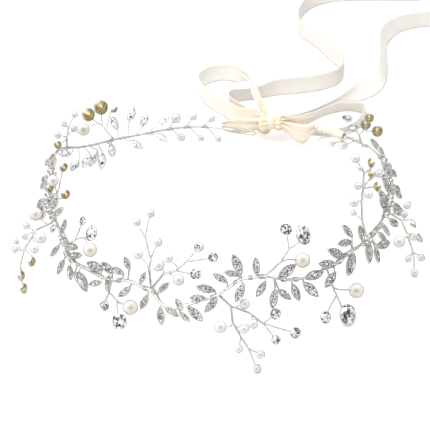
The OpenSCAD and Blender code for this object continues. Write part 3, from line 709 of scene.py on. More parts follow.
# the sprays: each is wound on the vine at its hub and forks into stems with pearls, beads and stones
sprays = {
    "front_left_up": {
        "hub": -20.6,
        "forks": [(-22.2, 7.5, 0, 0), (-22.3, 12, 0, 1), (-25.4, 20.2, 0, 2), (-17.3, 6.9, 0, 0),
            (-13.6, 8.9, 0, 4), (-10.8, 13.6, 0, 5)],
        "pearls": [(-27.1, 13.3, 0, 5, 1), (-19.6, 10.2, -0.5, 6, 4), (-16.7, 14.3, 0, 4.7, 5),
            (-12.7, 4.8, -1.5, 5.6, 4)],
        "beads": [(-26.5, 33.4, 0, 4, 3), (-31, 27.6, 0, 4, 3), (-21.2, 20.8, 0, 4, 2)],
        "stones": [(-7, 20.8, 0, 5.1, 6), (-2.2, 16.3, 0, 5.1, 6), (-7.4, 8.2, -0.5, 5.6, 5)],
    },
    "front_left_low": {
        "hub": -34,
        "forks": [(-33.6, -8.5, -1, 0), (-30, -11, -0.5, 1)],
        "pearls": [(-26, -12.4, -2.4, 7.4, 2)],
        "stones": [(-33.2, -15.3, 0, 5.4, 1), (-27.1, -19.8, 1.4, 8, 2)],
    },
    "left_inner": {
        "hub": -57,
        "forks": [(-57, 5, -4, 0), (-56.5, 7, -6, 1), (-62, 5.8, 0.6, 0)],
        "pearls": [(-52, 3.7, -9.6, 7.4, 2)],
        "stones": [(-58.1, 15.2, -3.9, 5, 1), (-54.3, 11.6, -8.4, 8.4, 2), (-62, 5.2, 6, 4.4, 3)],
    },
    "front_low": {
        "hub": -0.6,
        "forks": [(3.1, -6.2, -0.5, 0), (8, -9.6, 0, 1), (11.6, -15.4, 0, 2), (3.5, -14.1, 0, 1),
            (5.2, -19.8, 0, 4), (6.8, -25.1, 0, 5)],
        "pearls": [(0.1, -15.8, 0, 6, 4), (6.2, -17, 1, 4.4, 4), (9, -15.2, -1.2, 4.7, 2),
            (7, -5.6, -1, 5, 1), (4.6, -26.2, 0, 3.7, 5)],
        "beads": [(9.9, -29.6, 0.8, 4, 6), (8.8, -36.1, -0.9, 4, 6)],
        "stones": [(15.3, -11.8, 0, 5.6, 3), (19.8, -22.2, 0, 5.6, 3), (14.4, -23.8, 0, 4.7, 3)],
    },
    "front_right_up": {
        "hub": 14,
        "forks": [(19, 11.5, 0, 0), (23.2, 17, 0, 1)],
        "pearls": [(27.5, 10.2, -2, 7.5, 1)],
        "stones": [(23.6, 26.2, 0, 6, 2, 0, -35), (29.6, 21.9, 0, 10.2, 2, 0, 30)],
    },
    "front_right_low": {
        "hub": 35,
        "forks": [(35.6, -5, -4, 0), (37, -12, -6, 1)],
        "pearls": [(44, -14, -4.7, 7.6, 1)],
        "stones": [(32.2, -20.8, -9.4, 6.3, 2), (39.7, -23.7, -9, 10.3, 2)],
    },
    "left_outer": {
        "hub": -76.7,
        "forks": [(-76.5, -1.4, -3.2, 0), (-74.8, -7, 3, 1), (-71.2, -17, 5.6, 2), (-67.6, -24, 6, 3),
            (-63.6, -27, 6.4, 4)],
        "pearls": [(-79.4, -2.4, 5.3, 7.3, 1), (-72.5, -8.9, 0, 6, 2), (-70.2, -14.2, 1.6, 5, 2)],
        "beads": [(-76.6, -8.6, 7.6, 4, 2), (-73.8, -12.4, 6.8, 3.6, 2), (-72, -20, 9.4, 3.6, 3),
            (-74.2, -17, 9.4, 3.6, 3)],
        "stones": [(-67.4, -19.6, 1.6, 5.6, 3, 44, -54), (-66.2, -28, 4, 5.6, 4, 44, -54),
            (-63, -31.7, 2.8, 5.4, 5, 44, -58)],
    },
    "right_outer": {
        "hub": 83.6,
        "forks": [(83, -1.4, -3, 0), (81.5, -7, 1, 1), (78.4, -13, 1, 2), (74.6, -20, 1, 3)],
        "pearls": [(75.6, -13.4, -3.4, 6.3, 3)],
        "beads": [(85.2, -3.5, 6.5, 4.2, 1), (83.6, -6.2, 3, 4, 2), (76.6, -14.8, 4.4, 4.2, 3),
            (72.2, -22.2, -1.8, 3.6, 4), (73.8, -25.2, 3.6, 4.2, 4), (69.8, -28.8, -0.8, 4.1, 4)],
        "stones": [(80.9, -11.2, 5.7, 5.3, 2), (79, -19, 5.2, 5.6, 3)],
    },
    "right_inner": {
        "hub": 57,
        "forks": [(59, 14, -2, 0), (62.5, 22.5, 0, 1), (65, 28, 2.6, 2), (68, 34, 5, 3)],
        "pearls": [(69.8, 42.8, 4.4, 5, 4), (64.6, 24.2, 4, 4.5, 2), (60.6, 24.2, -2.6, 5, 2)],
        "beads": [(67, 38, 5.6, 3, 4), (62.8, 31, 2.4, 4, 3), (58.4, 19.6, -4.2, 3, 1),
            (70.4, 30.2, 10.8, 4.2, 3)],
        "stones": [(67, 33.2, 9.4, 5.2, 3, 44, 55), (71.6, 36.6, 9.4, 5.2, 4, 44, 50),
            (67.6, 25.2, 8.2, 5.4, 3, 44, 55)],
    },
    "left_upper": {
        "hub": -85.3,
        "forks": [(-87, 5, -3, 0), (-90.6, 13.5, 0, 1)],
        "pearls": [(-88.6, 13, 4, 6.3, 1)],
        "stones": [(-86.6, 10.4, -5.4, 5.6, 1, 44, -60), (-90, 6.6, 2.4, 4.8, 1, 44, -50),
            (-93.4, 19.6, 2.4, 5.3, 2, 44, -50)],
    },
    "left_corner": {
        "hub": -120.7,
        "forks": [(-120.8, 4, 14, 0), (-122, 8, 17, 1)],
        "beads": [(-125.4, 14.6, 21, 4, 2), (-121, 10.6, 20.4, 4, 2), (-124.6, 7, 16, 4, 1),
            (-118.6, 5, 18.6, 4.6, 1)],
        "stones": [(-116.6, 2.6, 14.4, 5, 1, 50, -40)],
    },
    "back_left": {
        "hub": -137.4,
        "forks": [(-137.6, 2.6, 3, 0), (-137.4, 1.6, 9, 1), (-137.4, 1.5, 13, 2)],
        "pearls": [(-132.2, -3.6, 17.2, 7.9, 3)],
        "stones": [(-139, 6.6, 21.8, 9, 3, 54, -20), (-136, -0.6, 23.2, 8.6, 3, 54, -10),
            (-142.4, 8, 17.4, 5.3, 2)],
    },
    "back_right": {
        "hub": 124.6,
        "forks": [(127.2, 3, 12.4, 0), (127, 3, 16, 1)],
        "pearls": [(133.6, -6.4, 5.6, 5.3, 0), (138.2, -7.6, 4.6, 4.1, 0)],
        "stones": [(128.6, 1.4, 20.4, 6.6, 2, 54, 45), (122.6, 2.4, 19.6, 6.9, 2, 54, 45),
            (125.6, 9.4, 22, 5.7, 2, 54, 45), (134.4, 5.2, 18, 6.6, 1, -50, 0),
            (132.6, -0.8, 16.2, 6.4, 1, -50, 0)],
    },
}
sprayLook = {
    "stoneInset": 0.24, "stoneBack": 0.12, "stemIn": 0.1, "creamFrom": 6.5, "loopUnder": 4.5, "loopOff": 0.22,
    "loopTurn": 0.98 * math.pi, "ballNear": 0.6, "ballPast": 0.35, "hubLift": 1.55, "bend": 0.3,
    "bendShare": 1.2, "cupWall": 0.2, "barWidth": 0.36, "barApart": 0.2, "barClear": 0.05, "barLong": 0.98,
    "coneSlope": 0.93, "coneFrom": 0.46, "coneDeep": 0.5, "steps": 12,
}


def forkPoints(spray):
    hub = vinePlace(spray["hub"], -sprayLook["hubLift"])
    return [onBand(*place) for place in [hub] + [fork[:3] for fork in spray["forks"]]]


def pointBefore(spray, points, fork):
    return points[0] - mm * up if fork == 0 else points[spray["forks"][fork - 1][3]]


# a stem to a pearl or bead sets off the way that its fork points, then bends to it
def beadRoute(row, spray, points):
    start, end = points[row[4]], onBand(*row[:3])
    came = (start - pointBefore(spray, points, row[4])).normalized()
    way = (came + sprayLook["bendShare"] * (end - start).normalized()).normalized()
    return [start, start + sprayLook["bend"] * (end - start).length * way, end]


# how many pearls, beads and stones the stem to each fork carries
def endsCarried(spray):
    carried = [0] * (len(spray["forks"]) + 1)
    for row in spray.get("pearls", []) + spray.get("beads", []) + spray["stones"]:
        fork = row[4]
        while fork:
            carried[fork] += 1
            fork = spray["forks"][fork - 1][3]
    return carried


# a stone's place, turned the way that it faces: its row may end with how far it is tipped and swung
def stonePlace(row):
    tip, swing = row[5:] or (0, 0)
    lean = math.radians(ring["lean"] - tip)
    face = math.cos(lean) * radial(row[0] + swing) + math.sin(lean) * up
    return face, turned(onBand(*row[:3]), face, tangent(row[0] + swing))


# two bars cross the stone's back, bent to its cone
def backBars(place, radius):
    bars = []
    for y in (-sprayLook["barApart"], sprayLook["barApart"]):
        bar = []
        for i in range(sprayLook["steps"] + 1):
            x = (2 * i / sprayLook["steps"] - 1) * sprayLook["barLong"]
            out = math.hypot(x, y)
            deep = sprayLook["coneSlope"] * (1 - out)
            if out < sprayLook["coneFrom"]:
                deep = sprayLook["coneDeep"] + sprayLook["coneSlope"] * (sprayLook["coneFrom"] - out)
            bar.append(place @ (Vector((x, y, -max(deep, 0.0) - sprayLook["barClear"])) * radius))
        bars.append(bar)
    return bars


# the thin band that holds a round stone, turned from its profile
def makeCup(radius):
    wall = sprayLook["cupWall"]
    profile = [
        (radius + 0.02, 0.16), (radius + 0.02, -0.02), (radius * 0.8, -0.2 * radius),
        (radius * 0.8 + wall, -0.26 * radius - 0.1), (radius + wall, -0.12), (radius + wall, 0.3),
        (radius + wall * 0.5, 0.44), (radius - 0.1, 0.36)]
    count = len(profile)
    cup = meshObject(
        [(r * mm, 0, z * mm) for r, z in profile], [], [(i, (i + 1) % count) for i in range(count)])
    only(cup)
    inMode("EDIT")
    bpy.ops.mesh.select_all(action="SELECT")
    bpy.ops.mesh.spin(steps=24, angle=2 * math.pi, center=(0, 0, 0), axis=(0, 0, 1))
    bpy.ops.mesh.select_all(action="SELECT")
    bpy.ops.mesh.remove_doubles(threshold=0.00001)
    closeMesh()
    bpy.ops.object.shade_smooth_by_angle(angle=math.radians(40))
    return cup


# a pearl or bead on its stem: its place, its strands and, round a small one, the strand that goes back
def strungBall(row, spray, points, seed):
    route = beadRoute(row, spray, points)
    way = (route[2] - route[1]).normalized()
    half = row[3] / 2 * mm
    stems = stemStrands([*route[:2], route[2] - way * (half + sprayLook["ballNear"] * mm)], seed)
    past = sprayLook["ballPast"] * mm
    stems.append([route[2] - way * (half + 2 * past), route[2] + way * (half + past)])
    side = sideOf(way, slopeUp(row[0]), tangent(row[0]))
    loops = []
    if row[3] < sprayLook["loopUnder"]:
        reach = half + sprayLook["loopOff"] * mm
        loops.append([
            route[2] + reach * around(sprayLook["loopTurn"] * i / sprayLook["steps"], way, side)
            for i in range(sprayLook["steps"] + 1)])
    return turned(route[2], way, side) @ Matrix.Scale(half, 4), stems, loops


# a round stone in its cup: its place, its stem's strands, its cup and the bars behind it
def cuppedStone(row, points, seed):
    start = points[row[4]]
    face, place = stonePlace(row)
    middle = place.translation
    inward = squareTo(start - middle, face)
    end = middle + inward * (row[3] / 2 - sprayLook["stemIn"]) * mm - face * sprayLook["stoneBack"] * mm
    stems = stemStrands([start, start.lerp(end, 0.5), end], seed)
    radius = row[3] / 2 - sprayLook["stoneInset"]
    cup = makeCup(radius)
    cup.data.transform(place)
    place = place @ Matrix.Rotation(row[0], 4, "Z")
    return place @ Matrix.Scale(radius * mm, 4), stems, cup, backBars(place, radius * mm)


def makeSpray(name, spray, seed):
    points = forkPoints(spray)
    stems, loops, stones, cups, bars = [], [], [], [], []
    balls = {"pearls": [], "beads": []}
    for fork, point, ends in zip(spray["forks"], points[1:], endsCarried(spray)[1:]):
        start = points[fork[3]]
        stems += stemStrands([start, start.lerp(point, 0.5), point], seed, ends)
    for kind in balls:
        for row in spray.get(kind, []):
            place, strands, loop = strungBall(row, spray, points, seed)
            balls[kind].append(place)
            stems += strands
            loops += loop
    for row in spray["stones"]:
        place, strands, cup, behind = cuppedStone(row, points, seed)
        stones.append(place)
        stems += strands
        cups.append(cup)
        bars += behind
    hub = windOnVine(spray["hub"] - binding["hubBack"], binding["hubTurns"], binding["hubRadius"])
    fine = drawWires(stems, vineLook["stemWidth"] * mm)
    wound = drawWires([hub] + loops, binding["width"] * mm)
    if bars:
        cups.append(drawWires(bars, sprayLook["barWidth"] * mm))
    wires = joinPieces([fine, wound] + cups)
    dress(wires, "silverWire")
    keep(wires, f"spray_{name}_wires", "silver_wire", f"{name}_stems")
    if balls["pearls"]:
        piece = setOut("pearl", balls["pearls"])
        piece.data.materials.append(finish["pearlCream"])
        perBall = len(models["pearl"].data.polygons)
        for i, face in enumerate(piece.data.polygons):
            face.material_index = 1 if spray["pearls"][i // perBall][3] > sprayLook["creamFrom"] else 0
        keep(piece, f"spray_{name}_pearls", "pearl", f"{name}_pearls")
    if balls["beads"]:
        piece = setOut("bead", balls["beads"])
        keep(piece, f"spray_{name}_beads", "crystal")
    if stones:
        piece = setOut("roundStone", stones)
        paintFacetReflections(piece, seed, "large", "roundStone")
        keep(piece, f"spray_{name}_stones", "crystal")
    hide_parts(f"{name}_glass")


# the leaf sprigs keep their metal; each tray is filled with small stones
# angle, rise, turn, length and, for some, the roll on its own length
sprigs = {
    "left_side": [
        (-112, -2.6, -110, 10, -45), (-109, 1, 80, 9, 50), (-106, 2.4, 70, 10, 50), (-103, -1, -110, 9, -50),
        (-100, -1.4, -115, 10, -50), (-97, 2, 95, 9, 50), (-94, 2, 75, 10, 50), (-91, -1, -95, 9, -50),
        (-88, -2, -65, 10, -50), (-85, 1.6, 80, 9, 50), (-82, -0.8, -115, 10, -45), (-77, 4.4, 110, 9, 45),
        (-72, 5.4, 70, 9, 40)],
    "left_front": [
        (-59.5, 5.5, 115, 7), (-57.5, 0, -103, 8), (-54.5, 2.5, 20, 9), (-52.5, -4, -85, 8.5),
        (-51, -0.6, 28, 8.6), (-49.4, -4.6, -46, 8)],
    "front_1": [
        (-46.5, -6, -25, 8), (-45, -5, -30, 12), (-36.5, 1, 180, 10.5), (-35.5, -4.5, -150, 7.5),
        (-34, 0, -77, 8), (-32.5, 1, 158, 9), (-29, 2.5, 172, 8), (-27.5, 5, 130, 7.5),
        (-26, -2, -127, 8.5)],
    "front_2": [
        (-23.5, 0, 78, 6.5), (-20.4, -3.5, -105, 8.5), (-17.8, -2.5, 52, 8), (-16.4, -8.2, -75, 9),
        (-15, -8.6, -22, 8)],
    "front_3": [
        (-11, -9.5, -35, 7), (-10, -9, 125, 7), (-9, -6.5, -38, 10.5), (-3.5, -2.5, 179, 8.5),
        (-1, 1, 168, 10), (-0.5, -2, -133, 9.5)],
    "front_4": [
        (2.4, 5, 150, 8.5), (6, 8, 164, 8), (6.5, 8, 110, 11), (7, 4.5, -118, 10), (11, 7, 89, 9),
        (13.5, 4.5, -130, 9)],
    "front_5": [
        (16, 0.5, -109, 10), (16.5, 0, -48, 8.5), (17, 4.5, 28, 11.5), (21, 1.5, -78, 9.5),
        (24.5, 1, -57, 11), (25, 2, 4, 11)],
    "front_6": [
        (36, 0.5, -151, 10), (37, 3.5, 156, 10.5), (41, 5, 136, 11), (45, 5, -140, 12.5),
        (46, 10.5, 164, 9), (47, 12, 108, 8.5)],
    "right_front": [
        (50.5, 6.5, 69, 9), (53.1, 5.5, -128, 11), (55, 1, -112, 8), (55.5, 0.5, -16, 11),
        (61.5, 5, -74, 8), (68, 5, -90, 8)],
    "right_side": [
        (76, 1, -60, 10, 40), (79, 3, 90, 9, -45), (82, 4, 70, 10, -40), (85.4, 0, -80, 9, 50),
        (88.6, -1, -95, 9, 50), (91.4, 2, 90, 9, -50), (94, 2, 65, 10, -50), (96.6, -1, -90, 9, 50),
        (99, -1.8, -70, 10, 50), (102, 1.6, 85, 9, -50), (105, 1.6, 110, 10, -50), (108, -2, -85, 9, 50),
        (111, -3.4, -60, 10, 50), (114, 0, 95, 9, -50), (117, 0, 75, 10, -50)],
}
leafLook = {
    "share": 0.42, "rim": 0.5, "tipRim": 2.2, "lift": 2.4, "stagger": 0.3, "stone": 0.64, "pitch": 1.24,
    "apart": 1.1, "seat": 0.42, "inset": 0.12, "threeRowsFrom": 2.3, "columns": 12, "spin": (1.3, 2.1),
    "seed": 40,
}


def inAlmond(x, y, length, width, inset):
    reach = (length * length / 4 + width * width / 4) / width
    return all(math.hypot(x - length / 2, y + side * (reach - width / 2)) < reach - inset for side in (1, -1))


def leafStones(row, number):
    angle, rise, turn, length = row[:4]
    roll = row[4] if len(row) > 4 else 0
    width = length * leafLook["share"]
    tray = length - leafLook["tipRim"]
    trayWidth = width - 2 * leafLook["rim"]
    lift = vinePlace(angle)[2] + leafLook["lift"] + leafLook["stagger"] * (number % 2)
    lay = Matrix.Translation(onBand(angle, rise, lift))
    for degrees, axis in ((angle, "Z"), (90 - ring["lean"], "X"), (turn, "Z"), (roll, "X")):
        lay = lay @ Matrix.Rotation(math.radians(degrees), 4, axis)
    places = []
    rows = 3 if trayWidth > leafLook["threeRowsFrom"] else 2
    for j in range(rows):
        y = (j - (rows - 1) / 2) * leafLook["apart"]
        for i in range(leafLook["columns"]):
            x = (i - (leafLook["columns"] - 1) / 2 + 0.5 * (j % 2)) * leafLook["pitch"] + tray / 2
            if inAlmond(x, y, tray, trayWidth, leafLook["inset"]):
                at = lay @ Matrix.Translation(Vector((x + (length - tray) / 2, y, leafLook["seat"])) * mm)
                spin = i * leafLook["spin"][0] + j * leafLook["spin"][1] + angle
                places.append(at @ Matrix.Rotation(spin, 4, "Z") @ Matrix.Scale(leafLook["stone"] * mm, 4))
    return places


# wire wound round the vine and the sprig's spine together, between the leaves
def bindSprig(rows):
    coils = []
    for a, b in zip(rows, rows[1:]):
        if b[0] - a[0] < binding["sprigRoom"]:
            continue
        out, high = binding["sprigReach"]
        coils.append([
            vinePoint(at, binding["sprigLift"]) + mm * around(
                2 * math.pi * i / binding["sprigPerTurn"], out * slopeOut(at), high * slopeUp(at))
            for i, at in enumerate(windAngles(
                (a[0] + b[0]) / 2, binding["sprigTurns"], binding["sprigPerTurn"]))])
    return coils


def makeSprigs():
    for seed, (name, rows) in enumerate(sprigs.items()):
        dress(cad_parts[f"leaf_sprig_{name}"], "silverLeaf")
        places = []
        for number, row in enumerate(rows):
            places += leafStones(row, number)
        piece = setOut("paveStone", places)
        paintFacetReflections(piece, leafLook["seed"] + seed, "pave", "paveStone")
        keep(piece, f"leaf_stones_{name}", "crystal")
        ties = drawWires(bindSprig(rows), binding["width"] * mm)
        dress(ties, "silverBundle")
        keep(ties, f"leaf_ties_{name}", "silver_wire")
    print("leaves ready")


makeVine()
for seed, (name, spray) in enumerate(sprays.items()):
    makeSpray(name, spray, seed)
print("sprays ready")
makeSprigs()


# marquise stones at the back left, each in a thin frame on its own stem
# vine angle that it grows from, then base angle, rise, lift, and tip angle, rise, lift
marquises = [
    (-123.2, -122.4, -5.6, 7.4, -119.8, -8.6, 14), (-124.8, -123.6, -5.2, 3, -119.6, -11.8, 0.6),
    (-127, -128, -3.6, 2.4, -123.8, -9.6, -2.4), (-129.4, -131.6, -3.2, 2.4, -127, -10.4, -3.4),
    (-132.4, -133.4, -5, 0, -130.4, -10, -8), (-136.2, -137.8, -3.4, 2.6, -136.6, -7, -5),
    (-141.4, -142, 0, 7.6, -142.4, 1.4, 16.6), (-143.2, -144.6, -1.4, -0.6, -148.4, -0.6, -8),
    (-144.8, -146.6, 2.4, 9, -149.6, 7.4, 16.4), (-148.4, -150.2, 1.4, 4.4, -153.6, 6.2, 10.8),
    (-152, -154.6, 0, -0.6, -159.4, 0.6, -7), (-153.6, -156.6, 2.6, 3, -161.4, 7.2, 7.6)]
marquiseLook = {
    "wide": 5, "frame": 0.5, "frameIn": 0.2, "inset": 0.42, "tipInset": 0.546, "deep": 2.4, "frameHigh": 0.3,
    "seed": 80,
}


def makeMarquises():
    frames, stems, coils, stones = [], [], [], []
    inset = marquiseLook["inset"] * mm
    wide = marquiseLook["wide"] / 2 * mm
    for seed, row in enumerate(marquises):
        base, tip = onBand(*row[1:4]), onBand(*row[4:7])
        way = (tip - base).normalized()
        place = turned((base + tip) / 2, squareTo(slopeUp(row[1]), way), way)
        half = (tip - base).length / 2
        for level in (-marquiseLook["frameHigh"] * mm, marquiseLook["frameHigh"] * mm):
            loop = []
            for turn in roundTurns():
                reach = almondReach(turn, wide / half) * (half - marquiseLook["frameIn"] * mm)
                loop.append(place @ Vector((reach * math.cos(turn), reach * math.sin(turn), level)))
            frames.append(loop)
        stones.append(place @ Matrix.Diagonal((
            half - marquiseLook["tipInset"] * mm, (wide - inset) / almondHalf, marquiseLook["deep"] * mm, 1)))
        start = vinePoint(row[0])
        root = start + sprayLook["hubLift"] * mm * squareTo(base - start, tangent(row[0]))
        stems += stemStrands([root, root.lerp(base, 0.5), base], seed)
        coils.append(windOnVine(row[0], binding["frameTurns"], binding["hubRadius"]))
    settings = joinPieces([
        drawWires(frames, marquiseLook["frame"] * mm, 1),
        drawWires(stems, vineLook["stemWidth"] * mm),
        drawWires(coils, binding["width"] * mm)])
    dress(settings, "silverPale")
    keep(settings, "marquise_frames", "silver_wire", "marquise_settings")
    piece = setOut("almondStone", stones)
    paintFacetReflections(piece, marquiseLook["seed"], "clear", "almondStone")
    keep(piece, "marquise_clear_stones", "crystal", "marquise_stones")
    print("marquise stones ready")


def makeTwigBeads():
    places = []
    for row in twigs:
        way = twigWay(row)
        place = turned(twigTip(row), way, squareTo(slopeUp(row[0]), way))
        places.append(place @ Matrix.Scale(row[4] / 2 * mm, 4))
    piece = setOut("bead", places)
    keep(piece, "twig_glass_beads", "crystal", "twig_beads")


makeMarquises()
makeTwigBeads()


# the satin ribbon
def satinWeave():
    group, given, made = newGroup("satinWeave", [("Vector", "Vector")], ["Height", "Mask", "Streak"])
    stretch = addNode(group, "Mapping", {"Scale": (1.0, 0.05, 1.0)})
    threads = addNode(group, "TexNoise", {"Scale": 5200, "Detail": 2})
    # noise for painted shade along soft lengthwise folds
    foldShade = addNode(group, "TexNoise", {"Scale": 160, "Detail": 3})
    # noise for painted shade in the creases near the knot
    creases = addNode(group, "TexNoise", {"Scale": 620, "Detail": 1})
    sharpen = addNode(group, "MapRange", {"From Min": 0.44, "From Max": 0.62})
    feed(group, (given, "Vector", stretch, "Vector"), (stretch, "Vector", threads, "Vector"),
         (stretch, "Vector", foldShade, "Vector"), (stretch, "Vector", creases, "Vector"),
         (creases, "Fac", sharpen, "Value"), (threads, "Fac", made, "Height"), (foldShade, "Fac", made, "Mask"),
         (sharpen, "Result", made, "Streak"))
    return group


satinLook = {
    # far and near: the satin's colour away from the knot and its painted light near the knot
    "far": (0.975, 0.935, 0.88, 1), "near": (0.99, 0.87, 0.70, 1), "tint": (1.0, 0.97, 0.92, 1),
    # colours of the painted shade along soft folds and in the creases
    "foldShade": (0.955, 0.955, 0.955, 1), "creaseShade": (0.93, 0.84, 0.68, 1), "threadHigh": 0.00004,
}


# painted light: warmer near the knot, where light shines through the gathered folds; painted shade: creased
# where it is drawn in there, and faint lengthwise streaks
def satin():
    material, tree, shader = newMaterial(
        "ivorySatin", Roughness=0.42, Sheen_Weight=0.35, Sheen_Roughness=0.4, Specular_IOR_Level=0.45)
    shader.inputs["Sheen Tint"].default_value = satinLook["tint"]
    weave = addNode(tree, "Group", node_tree=satinWeave())
    lay = addNode(tree, "UVMap", uv_map="ribbonLay")
    warm = addNode(tree, "Attribute", attribute_name="nearKnot")
    # painted light: the satin turns warmer near the knot
    base = mixColours(tree, {"A": satinLook["far"], "B": satinLook["near"]})
    # painted shade: faint lengthwise streaks darkened for soft folds
    shade = mixColours(tree, {"B": satinLook["foldShade"]}, "MULTIPLY")
    drawn = addNode(tree, "Math", operation="MULTIPLY")
    # painted shade: creases near the knot darkened to a golden colour
    creaseShaded = mixColours(tree, {"B": satinLook["creaseShade"]}, "MULTIPLY")
    bump = addNode(tree, "Bump", {"Distance": satinLook["threadHigh"], "Strength": 0.5})
    feed(tree, (lay, "UV", weave, "Vector"), (warm, "Fac", base, "Factor"), (base, "Result", shade, "A"),
         (weave, "Mask", shade, "Factor"), (warm, "Fac", drawn, 0), (weave, "Streak", drawn, 1),
         (drawn, 0, creaseShaded, "Factor"), (shade, "Result", creaseShaded, "A"),
         (creaseShaded, "Result", shader, "Base Color"), (weave, "Height", bump, "Height"),
         (bump, "Normal", shader, "Normal"))
    return material


finish["ivorySatin"] = satin()
ribbonLook = {
    "width": 13, "thick": 0.3, "across": 9, "steps": 8, "cup": 0.35, "cupEvery": 17, "pleat": 0.9,
    "pleatEvery": 9, "least": 4, "floorGap": 0.2, "knot": (30, 90, 17), "warmReach": 52,
    "sleeveAround": 30,
}
ribbonRows = {
    "left_loop": [
        (28.4, 90.6, 14.6, 0, 0, 0.36), (25, 94.6, 13, 0, 1, 0.6), (21, 99, 9, 0, 2, 0.86),
        (12, 109, 3, 0, 3), (1.6, 127, 0), (-5, 135, 0), (-10, 143, 0), (-13.5, 153, 0), (-13, 162, 0),
        (-7, 170, 0), (0, 173.6, 0), (6.6, 173.4, 0), (11.4, 169.4, 1.6, 0, 0, 0.94),
        (14, 162, 6, 1, 0, 0.78), (15.6, 154, 11, 2, 0, 0.6), (17.2, 146, 14.6, 3, 0, 0.48),
        (19, 134, 17, 3, 0, 0.44), (22.4, 116, 17, 3, 0, 0.44), (26, 101, 15.6, 2, 0, 0.47),
        (28, 95, 14, 0, 0, 0.5), (29, 90.8, 14.8, 0, 0, 0.36)],
    "right_loop": [
        (32.4, 90.6, 14.4, 0, 0, 0.36), (36, 94, 12, 0, 0, 0.55), (38.6, 100, 7, 0, 1, 0.7),
        (43, 106, 3, 0, 0, 0.7), (53, 117, 0, 0, -2, 0.6), (64, 126, 0, 0, -4, 0.7),
        (74.5, 131.5, 0, 0, -6.5), (84, 133, 0, -1, -7.5), (91, 129.5, 0, -3, -5),
        (93.5, 122.5, 0, -3, -2), (90, 114.5, 0, -2, -4), (80, 108, 0, 0, -7, 0.9),
        (64, 103, 0, 0, -7, 0.84), (50, 97.6, 5, 0, -3, 0.76), (43, 93, 10.4, 0, 0, 0.6),
        (39.1, 90.5, 13, 0, 0, 0.54), (33, 90, 14.4, 0, 0, 0.4)],
    "tail_1": [
        (30.8, 91.4, 13.6, 0, 0, 0.36), (30.6, 95.4, 9, 0, 0, 0.5), (29.6, 100, 3.6, 0, 0, 0.8),
        (26, 107, 0, 0, -1), (17, 118, 0, 0, -2), (8, 130, 0, -1, -1), (5.6, 138, 0, 0, -2),
        (9, 144, 0, 0, -3.6), (15, 146.4, 0, 0, -5), (22, 148, 0, 0, -5), (30, 151, 0, 0, -3),
        (37, 153.4, 0, 0, -1), (56, 157, 0), (69, 161.5, 0), (78, 168, 0), (82.5, 177, 0), (83, 186, 0),
        (79, 196, 0), (75, 205, 0), (70, 217, 0), (64, 229, 0), (57.5, 239, 0), (56, 249, 0),
        (57.5, 261, 0), (63, 277, 0), (71, 289, 0), (82.5, 297, 0), (95, 300, 0), (122, 301, 0),
        (150, 301, 0), (162, 306, 0)],
    "tail_2": [
        (31.6, 91.2, 13.8, 0, 0, 0.36), (33.2, 94.8, 9.6, 0, 0, 0.5), (36, 100.5, 8.6, 0, 0, 0.44),
        (43, 110, 6, 0, 0, 0.4), (53, 121.5, 1, 0, 0, 0.38), (63, 131.5, 0, 0, 0, 0.4),
        (75, 139.4, 0, 0, -1, 0.6), (85, 143.8, 0, -2, 2, 0.82), (92.6, 147, 0, -5, 6),
        (100.6, 153, 0, -7, 7), (107, 161.6, 0, -7.6, 7), (111, 171.6, 0, -7.2, 5),
        (113.4, 184, 0, -6.4, 2), (115.8, 205, 0, -6, 0), (117.8, 223, 0, -6, 0), (121, 233, 0, -6, 1),
        (127, 243, 0, -4, 2), (134, 249.5, 0, -1, 1), (144, 254, 0), (154, 256, 0)],
    "left_end": [
        (1, 92.8, 12, 0, 0, 0.3), (5, 92, 9.8, 0, 0, 0.62), (11, 90.8, 8.8, 0, 0, 0.84),
        (16, 90, 10, 0, 0, 0.76), (22, 90.4, 12, 0, 0, 0.6), (28, 90, 14.4, 0, 0, 0.36)],
    "right_end": [
        (33, 89.2, 14.4, 0, 0, 0.4), (38.8, 87.6, 12.6, 0, 0, 0.54), (43, 84.4, 9.6, 0, 1, 0.8),
        (48, 82.8, 7.4, 0, 1.4, 0.94), (51.4, 83, 7.6, 0, 1, 0.9), (54, 84.4, 10.4, 0, 0, 0.7),
        (56.8, 85.7, 12.8, 0, 0, 0.54)],
}


# cloth from rows of points, with its lay kept for the weave and how near the knot each point is, which sets
# the painted light there
def makeCloth(points, across, lays, warmth, closed):
    faces = [
        (i + k, i + (k + 1) % across, i + across + (k + 1) % across, i + across + k)
        for i in range(0, len(points) - across, across) for k in range(across if closed else across - 1)]
    cloth = meshObject(points, faces)
    layer = cloth.data.uv_layers.new(name="ribbonLay")
    for loop in cloth.data.loops:
        layer.data[loop.index].uv = lays[loop.vertex_index]
    near = cloth.data.attributes.new("nearKnot", "FLOAT", "POINT")
    near.data.foreach_set("value", warmth)
    dress(cloth, "ivorySatin")
    only(cloth)
    if closed:
        inMode("EDIT")
        closeMesh()
    bpy.ops.object.shade_smooth()
    wall = cloth.modifiers.new("wall", "SOLIDIFY")
    wall.thickness = ribbonLook["thick"] * mm
    wall.offset = -1 if closed else 0
    applyModifiers(cloth)
    return cloth


